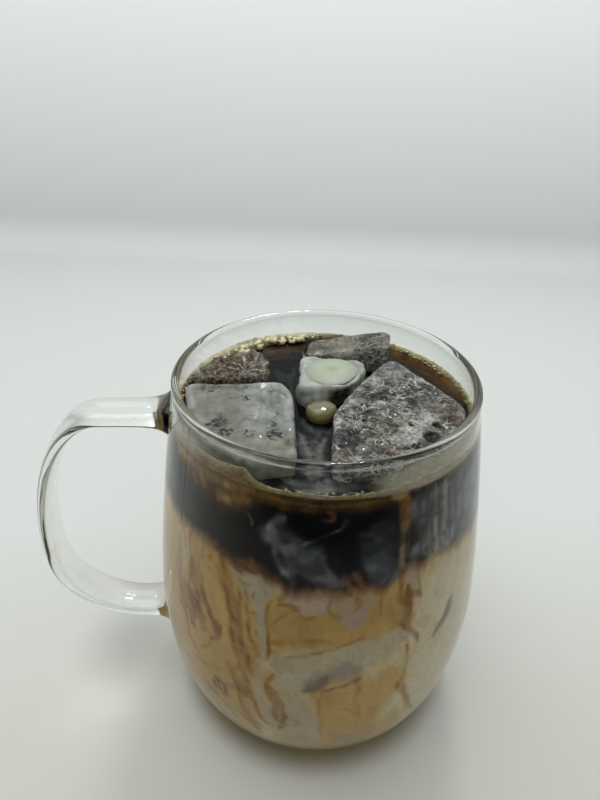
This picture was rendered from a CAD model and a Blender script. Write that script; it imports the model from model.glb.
"""Iced coffee in a glass mug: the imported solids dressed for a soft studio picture.

The glass, the drink, the froth and each block of ice are rebuilt finely in place of their solids.
The swirls of milk are brush strokes laid on the drink's wall and top as vertex colours. A stroke's
places are an angle round the mug in degrees (-90 is about where the camera stands, 180 the handle)
and a height in mm on the wall, and X and Y in mm on the top.
"""

from math import atan, cos, exp, pi, radians, sin

import bmesh
import bpy
import numpy as np
from mathutils import Matrix, Vector


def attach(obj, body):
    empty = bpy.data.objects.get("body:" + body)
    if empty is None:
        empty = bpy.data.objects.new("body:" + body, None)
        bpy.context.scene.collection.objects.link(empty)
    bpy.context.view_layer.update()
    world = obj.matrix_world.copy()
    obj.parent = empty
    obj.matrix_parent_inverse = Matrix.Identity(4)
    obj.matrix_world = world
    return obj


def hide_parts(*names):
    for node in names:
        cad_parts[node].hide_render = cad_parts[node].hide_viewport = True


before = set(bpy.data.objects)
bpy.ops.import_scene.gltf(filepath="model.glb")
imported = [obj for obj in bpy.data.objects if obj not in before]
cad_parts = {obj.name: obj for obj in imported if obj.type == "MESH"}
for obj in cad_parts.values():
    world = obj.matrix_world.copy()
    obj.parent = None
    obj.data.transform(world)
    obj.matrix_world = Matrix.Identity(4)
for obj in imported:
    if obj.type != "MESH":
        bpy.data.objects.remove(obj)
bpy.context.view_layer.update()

MM = 0.001

# The mug, as in the part: sizes in mm
RIM_RADIUS = 40.0
BEAD_RADIUS = 1.1
BEAD_STANDS_PROUD = 0.55
MUG_HEIGHT = 112.6
BELLY_RADIUS = 48.2
BELLY_HEIGHT = 44.0
FOOT_RADIUS = 25.8
WALL = 1.6
BASE_THICKNESS = 3.2
BASE_BLEND = 5.0
LOWER_POWER = 2.34
LOWER_ROUNDNESS = 2.855
UPPER_POWER = 1.34
HANDLE_REACH = 80.8
HANDLE_TOP = 100.0
HANDLE_BOTTOM = 25.9
HANDLE_TOP_CORNER = (20.8, 46.0)
HANDLE_BOTTOM_CORNER = (26.8, 25.0)
HANDLE_WIDTH = 11.6
HANDLE_THICKNESS = 4.5
HANDLE_ROUNDNESS = 0.75
HANDLE_ROOT = 0.8
FLARE_LENGTH = 2.6
FLARE_WIDTH = 0.30
FLARE_THICKNESS = 1.0
DRINK_LEVEL = 102.9
INTO_WALL = 0.15

# Fineness and limits of the meshes: counts, degrees and mm
MUG_SIDES = 192
STRAP_SIDES = 36
WALL_STEPS = 76
WALL_CROWDING = 1.7
TOP_SIDES = 260
FROTH_SIDES = 720
DOME_SIDES = 72
DOME_ROWS = 26
BALL_SIDES = 12
BALL_ROWS = 7
SHARP_ANGLE = 50.0
FRONT_STEP = 0.52
BACK_STEPS = 216
LOW_ROWS = 132
LOW_CROWDING = 1.12
HIGH_ROWS = 58
ROWS_CHANGE = 82.0
WALL_TOP = 104.4
TOP_RINGS = (120, 14)
FILM_ROWS = 32
FILM_COLUMNS = 300
FILM_HEIGHTS = (103.0, 110.8)
FILM_DEGREES = (-178, -16)
FILM_THICKNESS = 0.18
FILM_ALPHA = 0.42

# The camera, from fitting the rim's ellipse: frame and focal length in pixels of the picture, its
# distance and the rim's height in mm, angles in degrees, the clip range in m
FRAME_SIZE = (600, 800)
FOCAL_PIXELS = 600.0
RIM_CENTRE_PIXEL = (324.683, 372.482)
RIM_CENTRE_HEIGHT = 111.559
CAMERA_DISTANCE = 157.31
CAMERA_ELEVATION = 29.456
CAMERA_ROLL = 2.866
MUG_TURN = 6.2
FILM_WIDTH = 36.0
CLIP_RANGE = (0.01, 20.0)

# Ice blocks: corners seen from above, height of the top, its slopes, depth and roundness, in mm
ICE = {
    "ice_front_left": {
        "corners": ((-37.2, 0.4), (-11.0, 0.8), (-8.6, -4.5), (-8.2, -30.5), (-18.0, -32.5),
                    (-29.2, -23.0), (-35.2, -12.2)),
        "top": 108.6, "slope": (0.0, 0.05), "depth": 26.0, "corner": 2.2,
    },
    "ice_back_left": {
        "corners": ((-36.0, 4.2), (-15.2, 3.2), (-15.0, 13.0), (-20.6, 18.2), (-31.4, 16.2)),
        "top": 109.3, "slope": (0.12, 0.02), "depth": 24.0, "corner": 2.6,
    },
    "ice_back": {
        "corners": ((-5.6, 18.8), (19.6, 15.8), (21.6, 25.2), (-3.2, 29.4)),
        "top": 109.3, "slope": (0.21, 0.02), "depth": 25.0, "corner": 2.0,
    },
    "ice_right": {
        "corners": ((19.6, 13.4), (35.2, -10.6), (32.8, -17.6), (24.6, -27.8), (10.0, -34.4),
                    (-1.6, -32.8), (0.4, -14.0), (9.4, 0.8)),
        "top": 108.4, "slope": (-0.02, 0.07), "depth": 27.0, "corner": 2.6,
    },
    "ice_centre": {
        "corners": ((-7.4, -1.4), (5.4, -1.4), (12.2, 6.8), (12.4, 14.0), (-5.8, 17.0)),
        "top": 108.6, "slope": (0.0, 0.01), "depth": 23.0, "corner": 3.0,
    },
}
ICE_EDGE = 1.8
POOL_CENTRE = (2.3, 7.8)
POOL_RADII = (6.7, 7.1)
POOL_RISE = 1.0
POOL_SINK = 0.55
DENT_DEPTH = 3.0
DENT_SPREAD = 1.2
DROP_CENTRE = (-1.4, -6.5)
DROP_RADII = (3.9, 4.1)
DROP_HEIGHT = 4.2

# Colours as the eye sees them, 0 to 255
BLACK = (8, 7, 8)
INK = (10, 10, 13)
SLATE = (47, 50, 54)
WISP = (76, 78, 78)
PALE_WISP = (126, 127, 122)
LOBE = (121, 112, 104)
PINK = (113, 99, 90)
FUNNEL = (117, 111, 94)
STREAM = (126, 116, 101)
AMBER = (120, 99, 57)
GOLD = (98, 68, 22)
DEEP_AMBER = (88, 64, 28)
RUSSET = (66, 40, 17)
UMBER = (48, 33, 16)
TAN = (128, 105, 60)
WARM = (132, 107, 61)
BROWN = (78, 49, 16)
RUST = (82, 54, 38)
MAROON = (58, 34, 18)
CREAM = (147, 139, 119)
SLAB = (124, 118, 100)
SMUDGE = (84, 72, 64)
PLUM = (102, 95, 87)
OLIVE = (98, 88, 60)
BANK = (128, 114, 78)
STREAK = (40, 40, 39)
STRAND = (82, 50, 14)
BUBBLE = (178, 170, 138)
MELTWATER = (200, 202, 200)
MELTED_EDGE = (188, 192, 188)

# Tints whose strokes break up into strands, and those that break up as smoke does
STRANDED = (BROWN, GOLD, RUST)
SMOKY = (LOBE, PINK, FUNNEL, SLAB, STREAM)

# The milky half of the wall on the camera's side: colour, strength, softness and a path of
# (angle, height, half width in mm)
MILK_STROKES = (
    (TAN, 0.9, 0.5, ((-150, 40, 18), (-140, 45, 22), (-125, 45, 20))),
    (TAN, 0.8, 0.4, ((-128, 75, 9), (-122, 60, 12), (-116, 40, 14))),
    (CREAM, 0.9, 0.5, ((-50, 70, 10), (-45, 50, 16), (-42, 30, 18), (-60, 16, 10))),
    (AMBER, 0.95, 0.25, ((-108, 68, 4), (-100, 67, 5.4), (-92, 67.5, 5.6), (-85, 67, 4.5), (-78, 68.5, 5.6),
        (-72, 69, 5.6), (-68, 67, 3.4))),
    (WARM, 0.8, 0.5, ((-74, 66, 2.0), (-84, 65.5, 2.0), (-92, 65.2, 1.4))),
    (WARM, 0.9, 0.4, ((-88, 44, 4), (-85, 36, 6), (-83, 30, 6), (-76, 40, 6), (-70, 46, 5))),
    (STREAM, 0.9, 0.35, ((-102, 47, 4), (-101, 40, 4.4), (-99, 34, 4.6), (-98, 26, 5), (-96, 18, 5.5))),
    (WARM, 0.7, 0.5, ((-86, 22, 5), (-76, 18, 6), (-68, 24, 6))),
    # brown strands in the tan field
    (WARM, 0.8, 0.5, ((-131.5, 86, 1.2), (-131.5, 80, 1.6), (-130, 75, 1.5), (-128, 70, 1.3),
        (-125, 63, 1.5), (-124, 55, 1.6))),
    (BROWN, 0.85, 0.6, ((-127.5, 82, 1.2), (-126, 76, 1.7), (-124, 71, 1.4), (-121, 66, 1.4),
        (-119.5, 61, 1.3), (-118, 57, 1.6), (-116, 53, 2.0), (-114.5, 49, 1.9))),
    (BROWN, 0.8, 0.5, ((-117.7, 71, 0.4), (-116.3, 66, 0.5), (-115.5, 61, 0.7), (-113.8, 58, 0.9),
        (-112, 55.5, 0.8))),
    (BROWN, 0.7, 0.5, ((-120.7, 74, 0.4), (-120, 69.5, 0.6), (-119, 65, 0.5), (-118, 62, 0.4))),
    (BROWN, 0.75, 0.6, ((-122.8, 64, 0.4), (-121.8, 58, 0.7), (-119.4, 52, 0.8), (-117.2, 47, 1.0),
        (-115.6, 42, 0.9), (-113.6, 36, 0.6), (-111.6, 30, 0.4), (-109.8, 26, 0.3))),
    (BROWN, 0.65, 0.7, ((-119, 49, 0.6), (-120.5, 45, 1.2), (-118, 41, 1.4), (-114.5, 40, 0.9))),
    (BROWN, 0.55, 0.6, ((-129.5, 54, 0.4), (-131, 50, 0.6), (-134.5, 46.5, 0.4))),
    (BROWN, 0.35, 0.8, ((-144, 35, 0.6), (-135, 41, 0.9), (-127, 43, 1.0), (-121, 46, 0.6))),
    (BROWN, 0.35, 0.8, ((-126, 37, 0.6), (-121, 39, 0.9), (-116, 38, 0.7))),
    (OLIVE, 0.6, 0.7, ((-135, 86, 0.4), (-134.5, 81, 0.6), (-135.5, 77, 0.5))),
    (RUST, 0.45, 0.8, ((-140, 74, 1.0), (-139, 68, 1.4), (-137, 62, 1.0))),
    (RUST, 0.35, 0.8, ((-148, 78, 0.8), (-147, 66, 1.2), (-146, 56, 0.8))),
    (LOBE, 0.8, 0.5, ((-140.3, 83.6, 0.4), (-138, 82.8, 0.7), (-136.2, 80.8, 0.7), (-136, 78.6, 0.4))),
    (LOBE, 0.7, 0.8, ((-141, 79, 0.8), (-141.6, 75.6, 0.9))),
    (SLATE, 0.5, 0.9, ((-136.5, 32.5, 0.5), (-130, 29.5, 0.7), (-125, 26.8, 0.5))),
    # the funnel of milk and the stream that falls from it
    (MAROON, 0.9, 0.6, ((-129, 83, 1.2), (-121, 82.4, 2.4), (-114, 81.6, 2.4), (-110, 81.2, 2.4),
        (-106.5, 80.0, 1.2))),
    (OLIVE, 0.7, 0.6, ((-124.5, 81.6, 0.4), (-121, 83.0, 0.6), (-117, 82.4, 0.5), (-113, 80.8, 0.4))),
    (FUNNEL, 0.95, 0.28, ((-123.4, 78.2, 0.8), (-119, 77.4, 2.6), (-114, 76.8, 4.0), (-109.5, 78.2, 2.5),
        (-106, 79.4, 0.8))),
    (FUNNEL, 0.95, 0.3, ((-114.5, 76, 3.6), (-113.4, 72, 2.2), (-112.4, 68.5, 1.5), (-111.9, 64, 1.2),
        (-111.2, 60, 0.9), (-110.8, 57, 0.9))),
    (STREAM, 0.9, 0.4, ((-110.8, 57, 0.9), (-111.6, 52, 1.5), (-112.6, 47, 1.6), (-111.8, 41, 1.7),
        (-110.2, 35, 1.8), (-109.2, 29, 1.5), (-108, 24, 1.3), (-107, 19, 1.0))),
    (SLATE, 0.85, 0.6, ((-123.6, 80.2, 0.3), (-121.8, 79.4, 0.6), (-120.2, 78.9, 0.3))),
    (OLIVE, 0.7, 0.6, ((-121.6, 77.4, 0.3), (-119.4, 76.4, 0.6), (-117, 76.9, 0.4))),
    (BROWN, 0.7, 0.5, ((-120.6, 73, 0.5), (-120.1, 71.8, 0.4))),
    (BROWN, 0.85, 0.5, ((-109.2, 74, 0.3), (-110.2, 72, 0.6), (-110.9, 69, 0.6), (-110.2, 66.5, 0.4),
        (-109.6, 63, 0.6), (-109.3, 58.5, 0.9), (-110, 55, 0.6))),
    (BROWN, 0.6, 0.5, ((-117, 69.6, 0.3), (-115.6, 68.6, 0.5), (-113.8, 69.2, 0.3))),
    (BROWN, 0.55, 0.5, ((-113.7, 63.8, 0.3), (-113.2, 62.2, 0.6))),
    # the lobes in the middle and the amber below them
    (LOBE, 0.95, 0.22, ((-104.3, 76.6, 1.3), (-101, 75.8, 3.0), (-97.5, 75.2, 3.7), (-94, 75.8, 3.2),
        (-91, 77.2, 2.2))),
    (PINK, 0.85, 0.35, ((-89.5, 77.5, 2.2), (-86, 74.5, 3.4), (-84, 71.5, 3.2), (-81.5, 74, 3.0),
        (-79, 77, 2.4))),
    (LOBE, 0.6, 0.5, ((-86, 70, 1.6), (-83.5, 69.2, 1.8), (-80.5, 70.6, 1.2))),
    (WARM, 0.6, 0.5, ((-77, 78, 2.4), (-74, 76, 3), (-72, 73, 3))),
    (RUST, 0.8, 0.5, ((-106.5, 75.2, 0.8), (-104.8, 77.6, 0.6), (-104, 78.8, 0.4))),
    (DEEP_AMBER, 0.7, 0.5, ((-106.5, 73.4, 0.7), (-104, 74, 0.8), (-101.8, 73.2, 0.9),
        (-100.4, 72.2, 0.5))),
    (DEEP_AMBER, 0.6, 0.5, ((-99.4, 70.9, 0.3), (-97.6, 70.4, 0.6), (-95.6, 71, 0.3))),
    (DEEP_AMBER, 0.45, 0.5, ((-109, 66.2, 0.2), (-106, 68.8, 0.35), (-102.6, 71.6, 0.3))),
    (DEEP_AMBER, 0.5, 0.5, ((-91, 76.4, 0.2), (-91.5, 74, 0.5), (-90.2, 72.3, 0.6), (-87.5, 71, 0.4))),
    (GOLD, 0.6, 0.5, ((-83.4, 76.6, 0.4), (-82.4, 75, 0.7), (-83.4, 72.6, 0.4))),
    (GOLD, 0.5, 0.5, ((-75.8, 79, 0.7), (-75, 75, 0.4), (-75, 71, 0.4))),
    (GOLD, 0.45, 0.6, ((-108, 61, 1.0), (-100, 63.2, 0.8), (-94, 63.8, 0.5))),
    # sunken ice, seen as a pale slab
    (SLAB, 0.95, 0.22, ((-109, 53.4, 1.6), (-104.5, 54.4, 4.0), (-98, 54.6, 5.4), (-90, 56, 5.4),
        (-82, 57.4, 5.0), (-74, 59.2, 3.6), (-66.5, 61, 1.8))),
    (GOLD, 0.75, 0.5, ((-104, 57.4, 0.2), (-98, 58.8, 0.35), (-91, 60.8, 0.4), (-84.5, 62.9, 0.35),
        (-80.5, 63.8, 0.3))),
    (PLUM, 0.85, 0.6, ((-94, 50.5, 2.0), (-88, 53.4, 2.8), (-82.5, 53.6, 1.8))),
    (SMUDGE, 0.9, 0.6, ((-97.6, 46.2, 0.6), (-95.4, 47.6, 1.5), (-93, 49.8, 1.7), (-91.8, 51.6, 0.9))),
    (BROWN, 0.7, 0.5, ((-93, 46.2, 0.4), (-90, 47.5, 0.5), (-86.4, 48, 0.5), (-83.4, 49.2, 0.7),
        (-80.6, 50.2, 0.3))),
    (GOLD, 0.7, 0.6, ((-82.4, 49, 0.5), (-81.4, 45.6, 0.7), (-82, 42, 0.4))),
    (GOLD, 0.4, 0.6, ((-92.4, 45, 0.4), (-92.6, 40, 0.5), (-92, 32, 0.4), (-91, 22, 0.3))),
    (GOLD, 0.35, 0.6, ((-80.8, 42, 0.3), (-80.4, 36, 0.4), (-80.6, 28, 0.3))),
    (GOLD, 0.5, 0.8, ((-85.6, 38.4, 0.5), (-82.8, 37, 0.9), (-81, 34.4, 0.5))),
    (PLUM, 0.5, 0.8, ((-88.5, 26.5, 0.7), (-85, 22.6, 1.4), (-81, 19.4, 2.4), (-77.5, 14, 2.8))),
    # the curl
    (BROWN, 0.9, 0.45, ((-107.6, 50.4, 0.3), (-108.7, 47.6, 0.7), (-108.9, 44, 0.9), (-107.6, 41, 1.0),
        (-106.4, 37.4, 0.6), (-107.3, 33.8, 0.7), (-107, 31, 0.4))),
    (BROWN, 0.8, 0.45, ((-108.2, 46.4, 0.3), (-106.2, 43, 0.5), (-104.9, 39, 0.6), (-104.4, 34, 0.7),
        (-104.9, 30, 0.8), (-106, 26.4, 0.6), (-106.6, 24.4, 0.2))),
    (OLIVE, 0.6, 0.6, ((-106.2, 35, 1.2), (-106, 31, 1.3))),
    # the drips on the right
    (PINK, 0.75, 0.5, ((-66.4, 84.5, 1.2), (-65.2, 80, 1.8), (-64.6, 77, 1.6))),
    (BROWN, 0.75, 0.5, ((-69.2, 82, 0.5), (-69.1, 77.5, 0.9), (-68.8, 74, 0.9), (-68, 71.9, 0.3))),
    (OLIVE, 0.65, 0.5, ((-63, 82.5, 0.3), (-62.4, 77.5, 0.5), (-61.9, 73, 0.4))),
    (BROWN, 0.85, 0.45, ((-66.6, 77.5, 0.4), (-65.9, 74, 1.1), (-65.8, 71, 1.0), (-66, 68, 0.9),
        (-66.8, 66, 1.2), (-66.6, 64.6, 1.2), (-65, 62.8, 0.7), (-63, 61, 0.5), (-61.2, 58.6, 0.6),
        (-60.8, 57, 0.4))),
    (BROWN, 0.7, 0.5, ((-65.6, 74.4, 0.8), (-63.4, 73.8, 0.8), (-61.6, 72, 0.4))),
    (GOLD, 0.8, 0.55, ((-65.2, 57, 0.4), (-64.6, 53, 0.7), (-64.9, 49, 0.6), (-65.2, 45.6, 0.6),
        (-67, 43.2, 1.3), (-65, 41, 1.1), (-63.6, 37, 1.2), (-61.8, 32, 0.8), (-60, 29, 0.4),
        (-57, 25, 0.3))),
    (OLIVE, 0.6, 0.7, ((-46.6, 63, 0.9), (-48, 60.4, 1.5), (-50.5, 57.6, 1.4), (-53.6, 55, 0.8))),
    (SLATE, 0.4, 0.7, ((-47, 62.6, 0.7), (-49, 59.4, 1.0), (-52.6, 55.8, 0.6))),
)

# Where the dark coffee ends on the camera's side: (angle, height)
LAYER_EDGE = (
    (-170, 84.0), (-158, 85.6), (-150, 84.8), (-140, 85.4), (-132, 84.6), (-126, 82.6), (-120, 83.4),
    (-115, 82.6), (-110, 82.4), (-104, 79.6), (-97, 79.2), (-90, 79.4), (-84, 79.6), (-79, 80.6),
    (-75, 79.5), (-71, 82.5), (-66, 84.1), (-60, 82.6), (-54, 83.5), (-45, 82.4), (-35, 80.7), (-20, 82.0),
)

# Milk in the dark band, and the drips and streaks over it
DARK_STROKES = (
    (SLATE, 0.9, 0.5, ((-83, 93.4, 1.6), (-79, 90.5, 4.0), (-76.5, 86.4, 4.6), (-75, 82.5, 3.4))),
    (SLATE, 0.5, 0.6, ((-80, 96, 0.8), (-76, 95.5, 1.4), (-73, 94, 1.6))),
    (WISP, 0.6, 0.6, ((-79.5, 84.6, 1.4), (-76, 82.4, 2.2), (-73, 82, 1.6))),
    (WISP, 0.85, 0.35, ((-105.5, 90, 1.8), (-101, 87.4, 3.8), (-96.5, 86, 4.4), (-92.5, 84, 3.6),
        (-90.4, 81.6, 2.0))),
    (SLATE, 0.6, 0.6, ((-100, 89.5, 1.0), (-96, 90.8, 1.2), (-93, 91.5, 0.8))),
    (WISP, 0.8, 0.5, ((-118, 96.6, 0.3), (-117, 95.6, 0.4), (-116.4, 94.2, 0.3))),
    (PALE_WISP, 0.5, 0.9, ((-110.8, 95.4, 0.5), (-108.8, 97.6, 0.9), (-107, 98.4, 0.5))),
    (WISP, 0.75, 0.9, ((-108.6, 97.4, 1.0), (-109.8, 94, 1.8), (-108.4, 90, 2.6), (-107.4, 86.4, 2.4),
        (-105.0, 83.4, 2.0), (-102, 81.4, 1.6))),
    (PALE_WISP, 0.5, 0.8, ((-109.6, 95, 0.7), (-109.2, 91, 1.0), (-107.6, 86.6, 0.9), (-104.6, 83, 0.8))),
    (WISP, 0.6, 0.8, ((-108, 94.6, 1.4), (-104.8, 93.4, 1.6), (-101.4, 92.6, 0.9))),
    (WISP, 0.7, 0.45, ((-100.4, 91.8, 0.4), (-97, 93.2, 0.4), (-93.6, 94.2, 0.4), (-90, 95.8, 0.5),
        (-88.4, 98, 0.6))),
    (RUST, 0.6, 0.5, ((-95, 98.6, 0.4), (-92.8, 98.4, 0.7), (-91.8, 99.9, 0.5), (-93.4, 101, 0.3))),
    (BLACK, 0.9, 0.5, ((-101, 93.2, 0.3), (-96, 93.5, 0.5), (-91, 94.7, 0.4))),
    (INK, 0.95, 0.25, ((-92.5, 92, 1.6), (-89.5, 89.6, 3.4), (-87.4, 86.6, 3.4), (-86, 83.6, 2.2))),
    (INK, 0.9, 0.4, ((-87, 97, 1.8), (-86.5, 94, 2.2), (-86, 91, 2.2))),
    (INK, 0.8, 0.5, ((-83.8, 92.6, 0.6), (-81, 92.6, 0.5), (-79.4, 92.2, 0.2))),
    (RUST, 0.8, 0.5, ((-87.6, 82.6, 0.9), (-86.6, 80.2, 0.7), (-85.6, 77.6, 0.2))),
    (RUST, 0.8, 0.5, ((-84.6, 83, 0.9), (-83.2, 81, 0.7), (-81.4, 79.4, 0.2))),
    (STREAK, 0.85, 0.5, ((-73.3, 90.4, 0.2), (-73, 87, 0.5), (-72.7, 84, 0.7), (-73.6, 81.4, 0.5),
        (-75.2, 79.4, 0.3))),
    # the grey curtain on the right with its streaks
    (WISP, 0.9, 0.3, ((-65, 98, 2.5), (-58, 96, 5.5), (-50, 93, 9.0), (-42, 92, 10.0), (-34, 91, 10.0))),
    (PALE_WISP, 0.6, 0.6, ((-63, 87, 2.0), (-57, 86.4, 2.4), (-50, 86.2, 2.6))),
    (PALE_WISP, 0.4, 0.7, ((-56.5, 102, 0.5), (-56, 97, 0.9), (-55.6, 90, 0.9), (-55.2, 84, 0.6))),
    (PALE_WISP, 0.4, 0.7, ((-51.5, 102, 0.4), (-51.2, 96, 0.8), (-51, 88, 0.9))),
    (STREAK, 0.75, 0.5, ((-64, 102.5, 0.6), (-63.9, 99, 0.9), (-63.6, 95.6, 0.5))),
    (STREAK, 0.75, 0.5, ((-60.2, 102.8, 0.5), (-60, 99, 0.8), (-59.6, 95, 0.7), (-59.4, 92, 0.3))),
    (STREAK, 0.6, 0.5, ((-58, 103, 0.3), (-57.8, 98, 0.4), (-57.6, 94, 0.3))),
    (STREAK, 0.75, 0.5, ((-66.4, 95.2, 0.5), (-61, 94.6, 0.8), (-56, 93.8, 0.7), (-52.8, 93.4, 0.4))),
    (STREAK, 0.7, 0.5, ((-62.2, 92.5, 0.4), (-62, 88, 0.5), (-61.8, 84.6, 0.3))),
    (STREAK, 0.65, 0.5, ((-57.6, 93, 0.5), (-57.4, 88, 0.5), (-57.2, 83.4, 0.3))),
    (STREAK, 0.7, 0.5, ((-54, 100, 0.4), (-53.9, 93, 0.6), (-53.8, 87, 0.4), (-53.6, 83.6, 0.2))),
    (STREAK, 0.6, 0.5, ((-49.2, 98, 0.4), (-49, 91, 0.6), (-48.6, 84, 0.4), (-48.4, 80, 0.2))),
    (STREAK, 0.5, 0.6, ((-46, 101, 0.4), (-45.8, 95, 0.5), (-45.4, 87, 0.4))),
    (STREAK, 0.4, 0.7, ((-42, 103, 0.6), (-41.5, 95, 0.7), (-41, 88, 0.5))),
    # the long vertical drip
    (GOLD, 0.85, 0.45, ((-69.2, 103.2, 1.5), (-68.9, 99, 1.3), (-68.8, 94, 1.0))),
    (OLIVE, 0.8, 0.45, ((-68.8, 95, 1.0), (-68.9, 90, 0.9), (-69, 84, 0.8))),
    (RUST, 0.6, 0.5, ((-66.9, 101, 0.4), (-66.8, 93, 0.5), (-66.8, 86, 0.5))),
)

# The amber rim of the coffee under the froth
EDGE_STROKES = (
    (UMBER, 0.9, 0.6, ((-152, 101.0, 2.4), (-144, 98.4, 3.6), (-134, 97.4, 3.6), (-124, 98.4, 2.8),
        (-116, 100.6, 2.0), (-110, 102.2, 1.2))),
    (DEEP_AMBER, 0.85, 0.6, ((-158, 103.2, 1.4), (-148, 101.6, 2.4), (-138, 100.6, 2.8), (-128, 100.2, 2.8),
        (-120, 101.2, 2.0), (-112, 102.6, 1.0))),
    (UMBER, 0.9, 0.7, ((-116, 101.6, 1.2), (-104, 101.4, 1.0), (-92, 101.4, 0.9), (-80, 101.5, 0.9),
        (-73, 101.8, 0.8))),
    (DEEP_AMBER, 0.6, 0.6, ((-116, 102.6, 0.5), (-104, 102.5, 0.4), (-92, 102.4, 0.4), (-80, 102.5, 0.4),
        (-73, 102.8, 0.5))),
    (BANK, 0.7, 0.7, ((-164, 103.4, 0.6), (-154, 102.8, 1.6), (-146, 102.2, 1.6), (-139, 102.4, 1.8),
        (-131, 102.2, 1.6), (-124, 102.8, 1.2), (-117, 103.2, 0.6))),
    (AMBER, 0.7, 0.6, ((-142.4, 99.0, 0.7), (-141.6, 98.0, 0.6))),
    (AMBER, 0.7, 0.6, ((-137.4, 99.8, 1.2), (-136.2, 98.6, 0.9))),
    (BANK, 0.5, 0.6, ((-129.6, 99.0, 1.4), (-126.4, 98.4, 1.1))),
    (BANK, 0.7, 0.5, ((-73, 103.4, 0.6), (-70, 103.2, 1.1), (-67, 103.6, 0.6))),
    (BANK, 0.5, 0.7, ((-64, 103.2, 0.4), (-52, 103.0, 0.6), (-40, 102.6, 0.6))),
)

# The drink's top: a path of (x, y, half width), all in mm
TOP_STROKES = (
    (RUST, 0.6, 0.8, ((-30, 17, 2.5), (-20, 24.5, 3.5), (-8, 30, 3.0), (6, 32.5, 2.5))),
    (DEEP_AMBER, 0.5, 0.8, ((-31, 17, 1.5), (-18, 28.5, 1.8), (-2, 33.6, 1.8))),
    (WISP, 0.8, 0.6, ((-6.8, -9, 0.5), (-5.2, -12.6, 1.0), (-3.2, -15.4, 0.8), (-4.6, -18.4, 0.7))),
    (PALE_WISP, 0.9, 0.9, ((-8.0, -14, 0.5), (-7.0, -17, 1.2), (-6.6, -21, 1.5), (-5.8, -25, 1.4),
        (-6, -29, 1.1))),
    (PALE_WISP, 0.9, 0.9, ((-1.8, -17.6, 0.8), (-3.2, -21.4, 1.2), (-3.2, -26.4, 1.2), (-4.4, -31, 1.1))),
    (WISP, 0.7, 0.9, ((-5, -12.6, 1.2), (-2.8, -14.4, 1.6), (-0.4, -14.8, 1.2))),
    (WISP, 0.8, 0.6, ((-12, -31.6, 0.6), (-8, -33.4, 1.2), (-2, -33.8, 1.6), (4, -34, 1.4),
        (10, -32.8, 0.8))),
    (PALE_WISP, 0.8, 0.5, ((-9, -35.6, 0.5), (-4.6, -36.4, 0.8), (0.4, -35.8, 0.7), (4.8, -36.6, 0.4))),
    (BROWN, 0.6, 0.6, ((7, -33.6, 0.8), (11.4, -32.6, 1.2), (15, -31, 0.8))),
    (WISP, 0.6, 0.7, ((-10, 2.4, 0.6), (-8.4, 7, 0.8), (-8.8, 12.6, 0.7), (-7.4, 17.8, 0.8))),
    (SLATE, 0.7, 0.7, ((-13.4, 8, 0.5), (-11, 12.4, 1.2), (-12.8, 17.2, 1.0))),
)

# Spots as (x, y, size, strength), in mm: where milk clouds the coffee between the front blocks
MILKY_GAP = (
    (-5.0, -20.0, 3.6, 0.6), (-6.0, -28.5, 4.4, 0.75), (-2.5, -34.0, 3.6, 0.8), (-11.5, -33.0, 3.0, 0.7),
)

# The front left block's pits and fine lines
FRONT_LEFT_PITS = (
    (-28.4, -18.8, 1.6, 1.0), (-25.2, -21.2, 1.5, 1.0), (-26.5, -17.2, 1.6, 0.5), (-19.6, -22.0, 1.3, 0.8),
    (-13.6, -22.6, 1.8, 0.7), (-14.6, -18.6, 1.3, 0.6), (-13.0, -14.6, 1.2, 0.3), (-21.0, -7.4, 1.4, 0.45),
    (-30.0, -2.6, 2.6, 0.4), (-22.5, -1.6, 2.4, 0.35),
)
FRONT_LEFT_LINES = ((-20.5, -15.5, 4.0, 1.0), (-12, -11, 3.4, 0.7))

# The right block's clear dark places, holes, white smears, brown hollows and beige places
RIGHT_DARK = (
    (14.9, -7.2, 2.1, 0.8), (11.2, -8.4, 2.2, 0.85), (23.2, -3.6, 2.4, 0.75), (16.6, -1.6, 1.7, 0.5),
    (9.0, -13.0, 1.6, 0.6), (27.5, -9.5, 1.8, 0.5), (20.0, -10.5, 1.5, 0.5), (12.5, 3.0, 1.3, 0.5),
)
RIGHT_HOLES = (
    (23.4, -22.8, 2.1, 1.0), (25.4, -18.6, 1.0, 1.0), (19.2, -18.6, 0.6, 0.9), (16.4, -27.2, 0.8, 0.9),
    (18.6, -26.6, 0.9, 0.9), (8.2, -16.6, 0.6, 0.8), (10.2, -18.4, 0.5, 0.8), (5.6, -16.2, 0.5, 0.7),
)
RIGHT_WHITE = (
    (20.6, -20.6, 4.2, 1.0), (17.2, -24.4, 2.6, 0.9), (23.8, -16.4, 3.0, 0.85), (-0.6, -18.8, 1.5, 0.7),
    (-1.6, -23.4, 1.4, 0.7), (4.4, -13.6, 1.6, 0.4), (12.6, -13.6, 2.0, 0.4), (17.4, -12.6, 1.8, 0.4),
)
RIGHT_BROWN = (
    (30.0, -14.2, 3.6, 0.9), (31.4, -9.0, 2.0, 0.5), (11.4, -28.2, 1.7, 0.8), (14.4, -28.6, 1.5, 0.8),
    (20.6, -27.8, 1.8, 0.7), (1.2, -29.6, 1.6, 0.7), (27.6, -24.0, 1.6, 0.5),
)
RIGHT_BEIGE = ((11.6, -20.6, 2.6, 0.8), (16.4, -17.2, 2.4, 0.9), (9.0, -24.6, 2.0, 0.5))

# The bright rays on the back left block: (x, y, size)
RAYS_PLACE = (-20.6, 9.0, 5.6)

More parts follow.
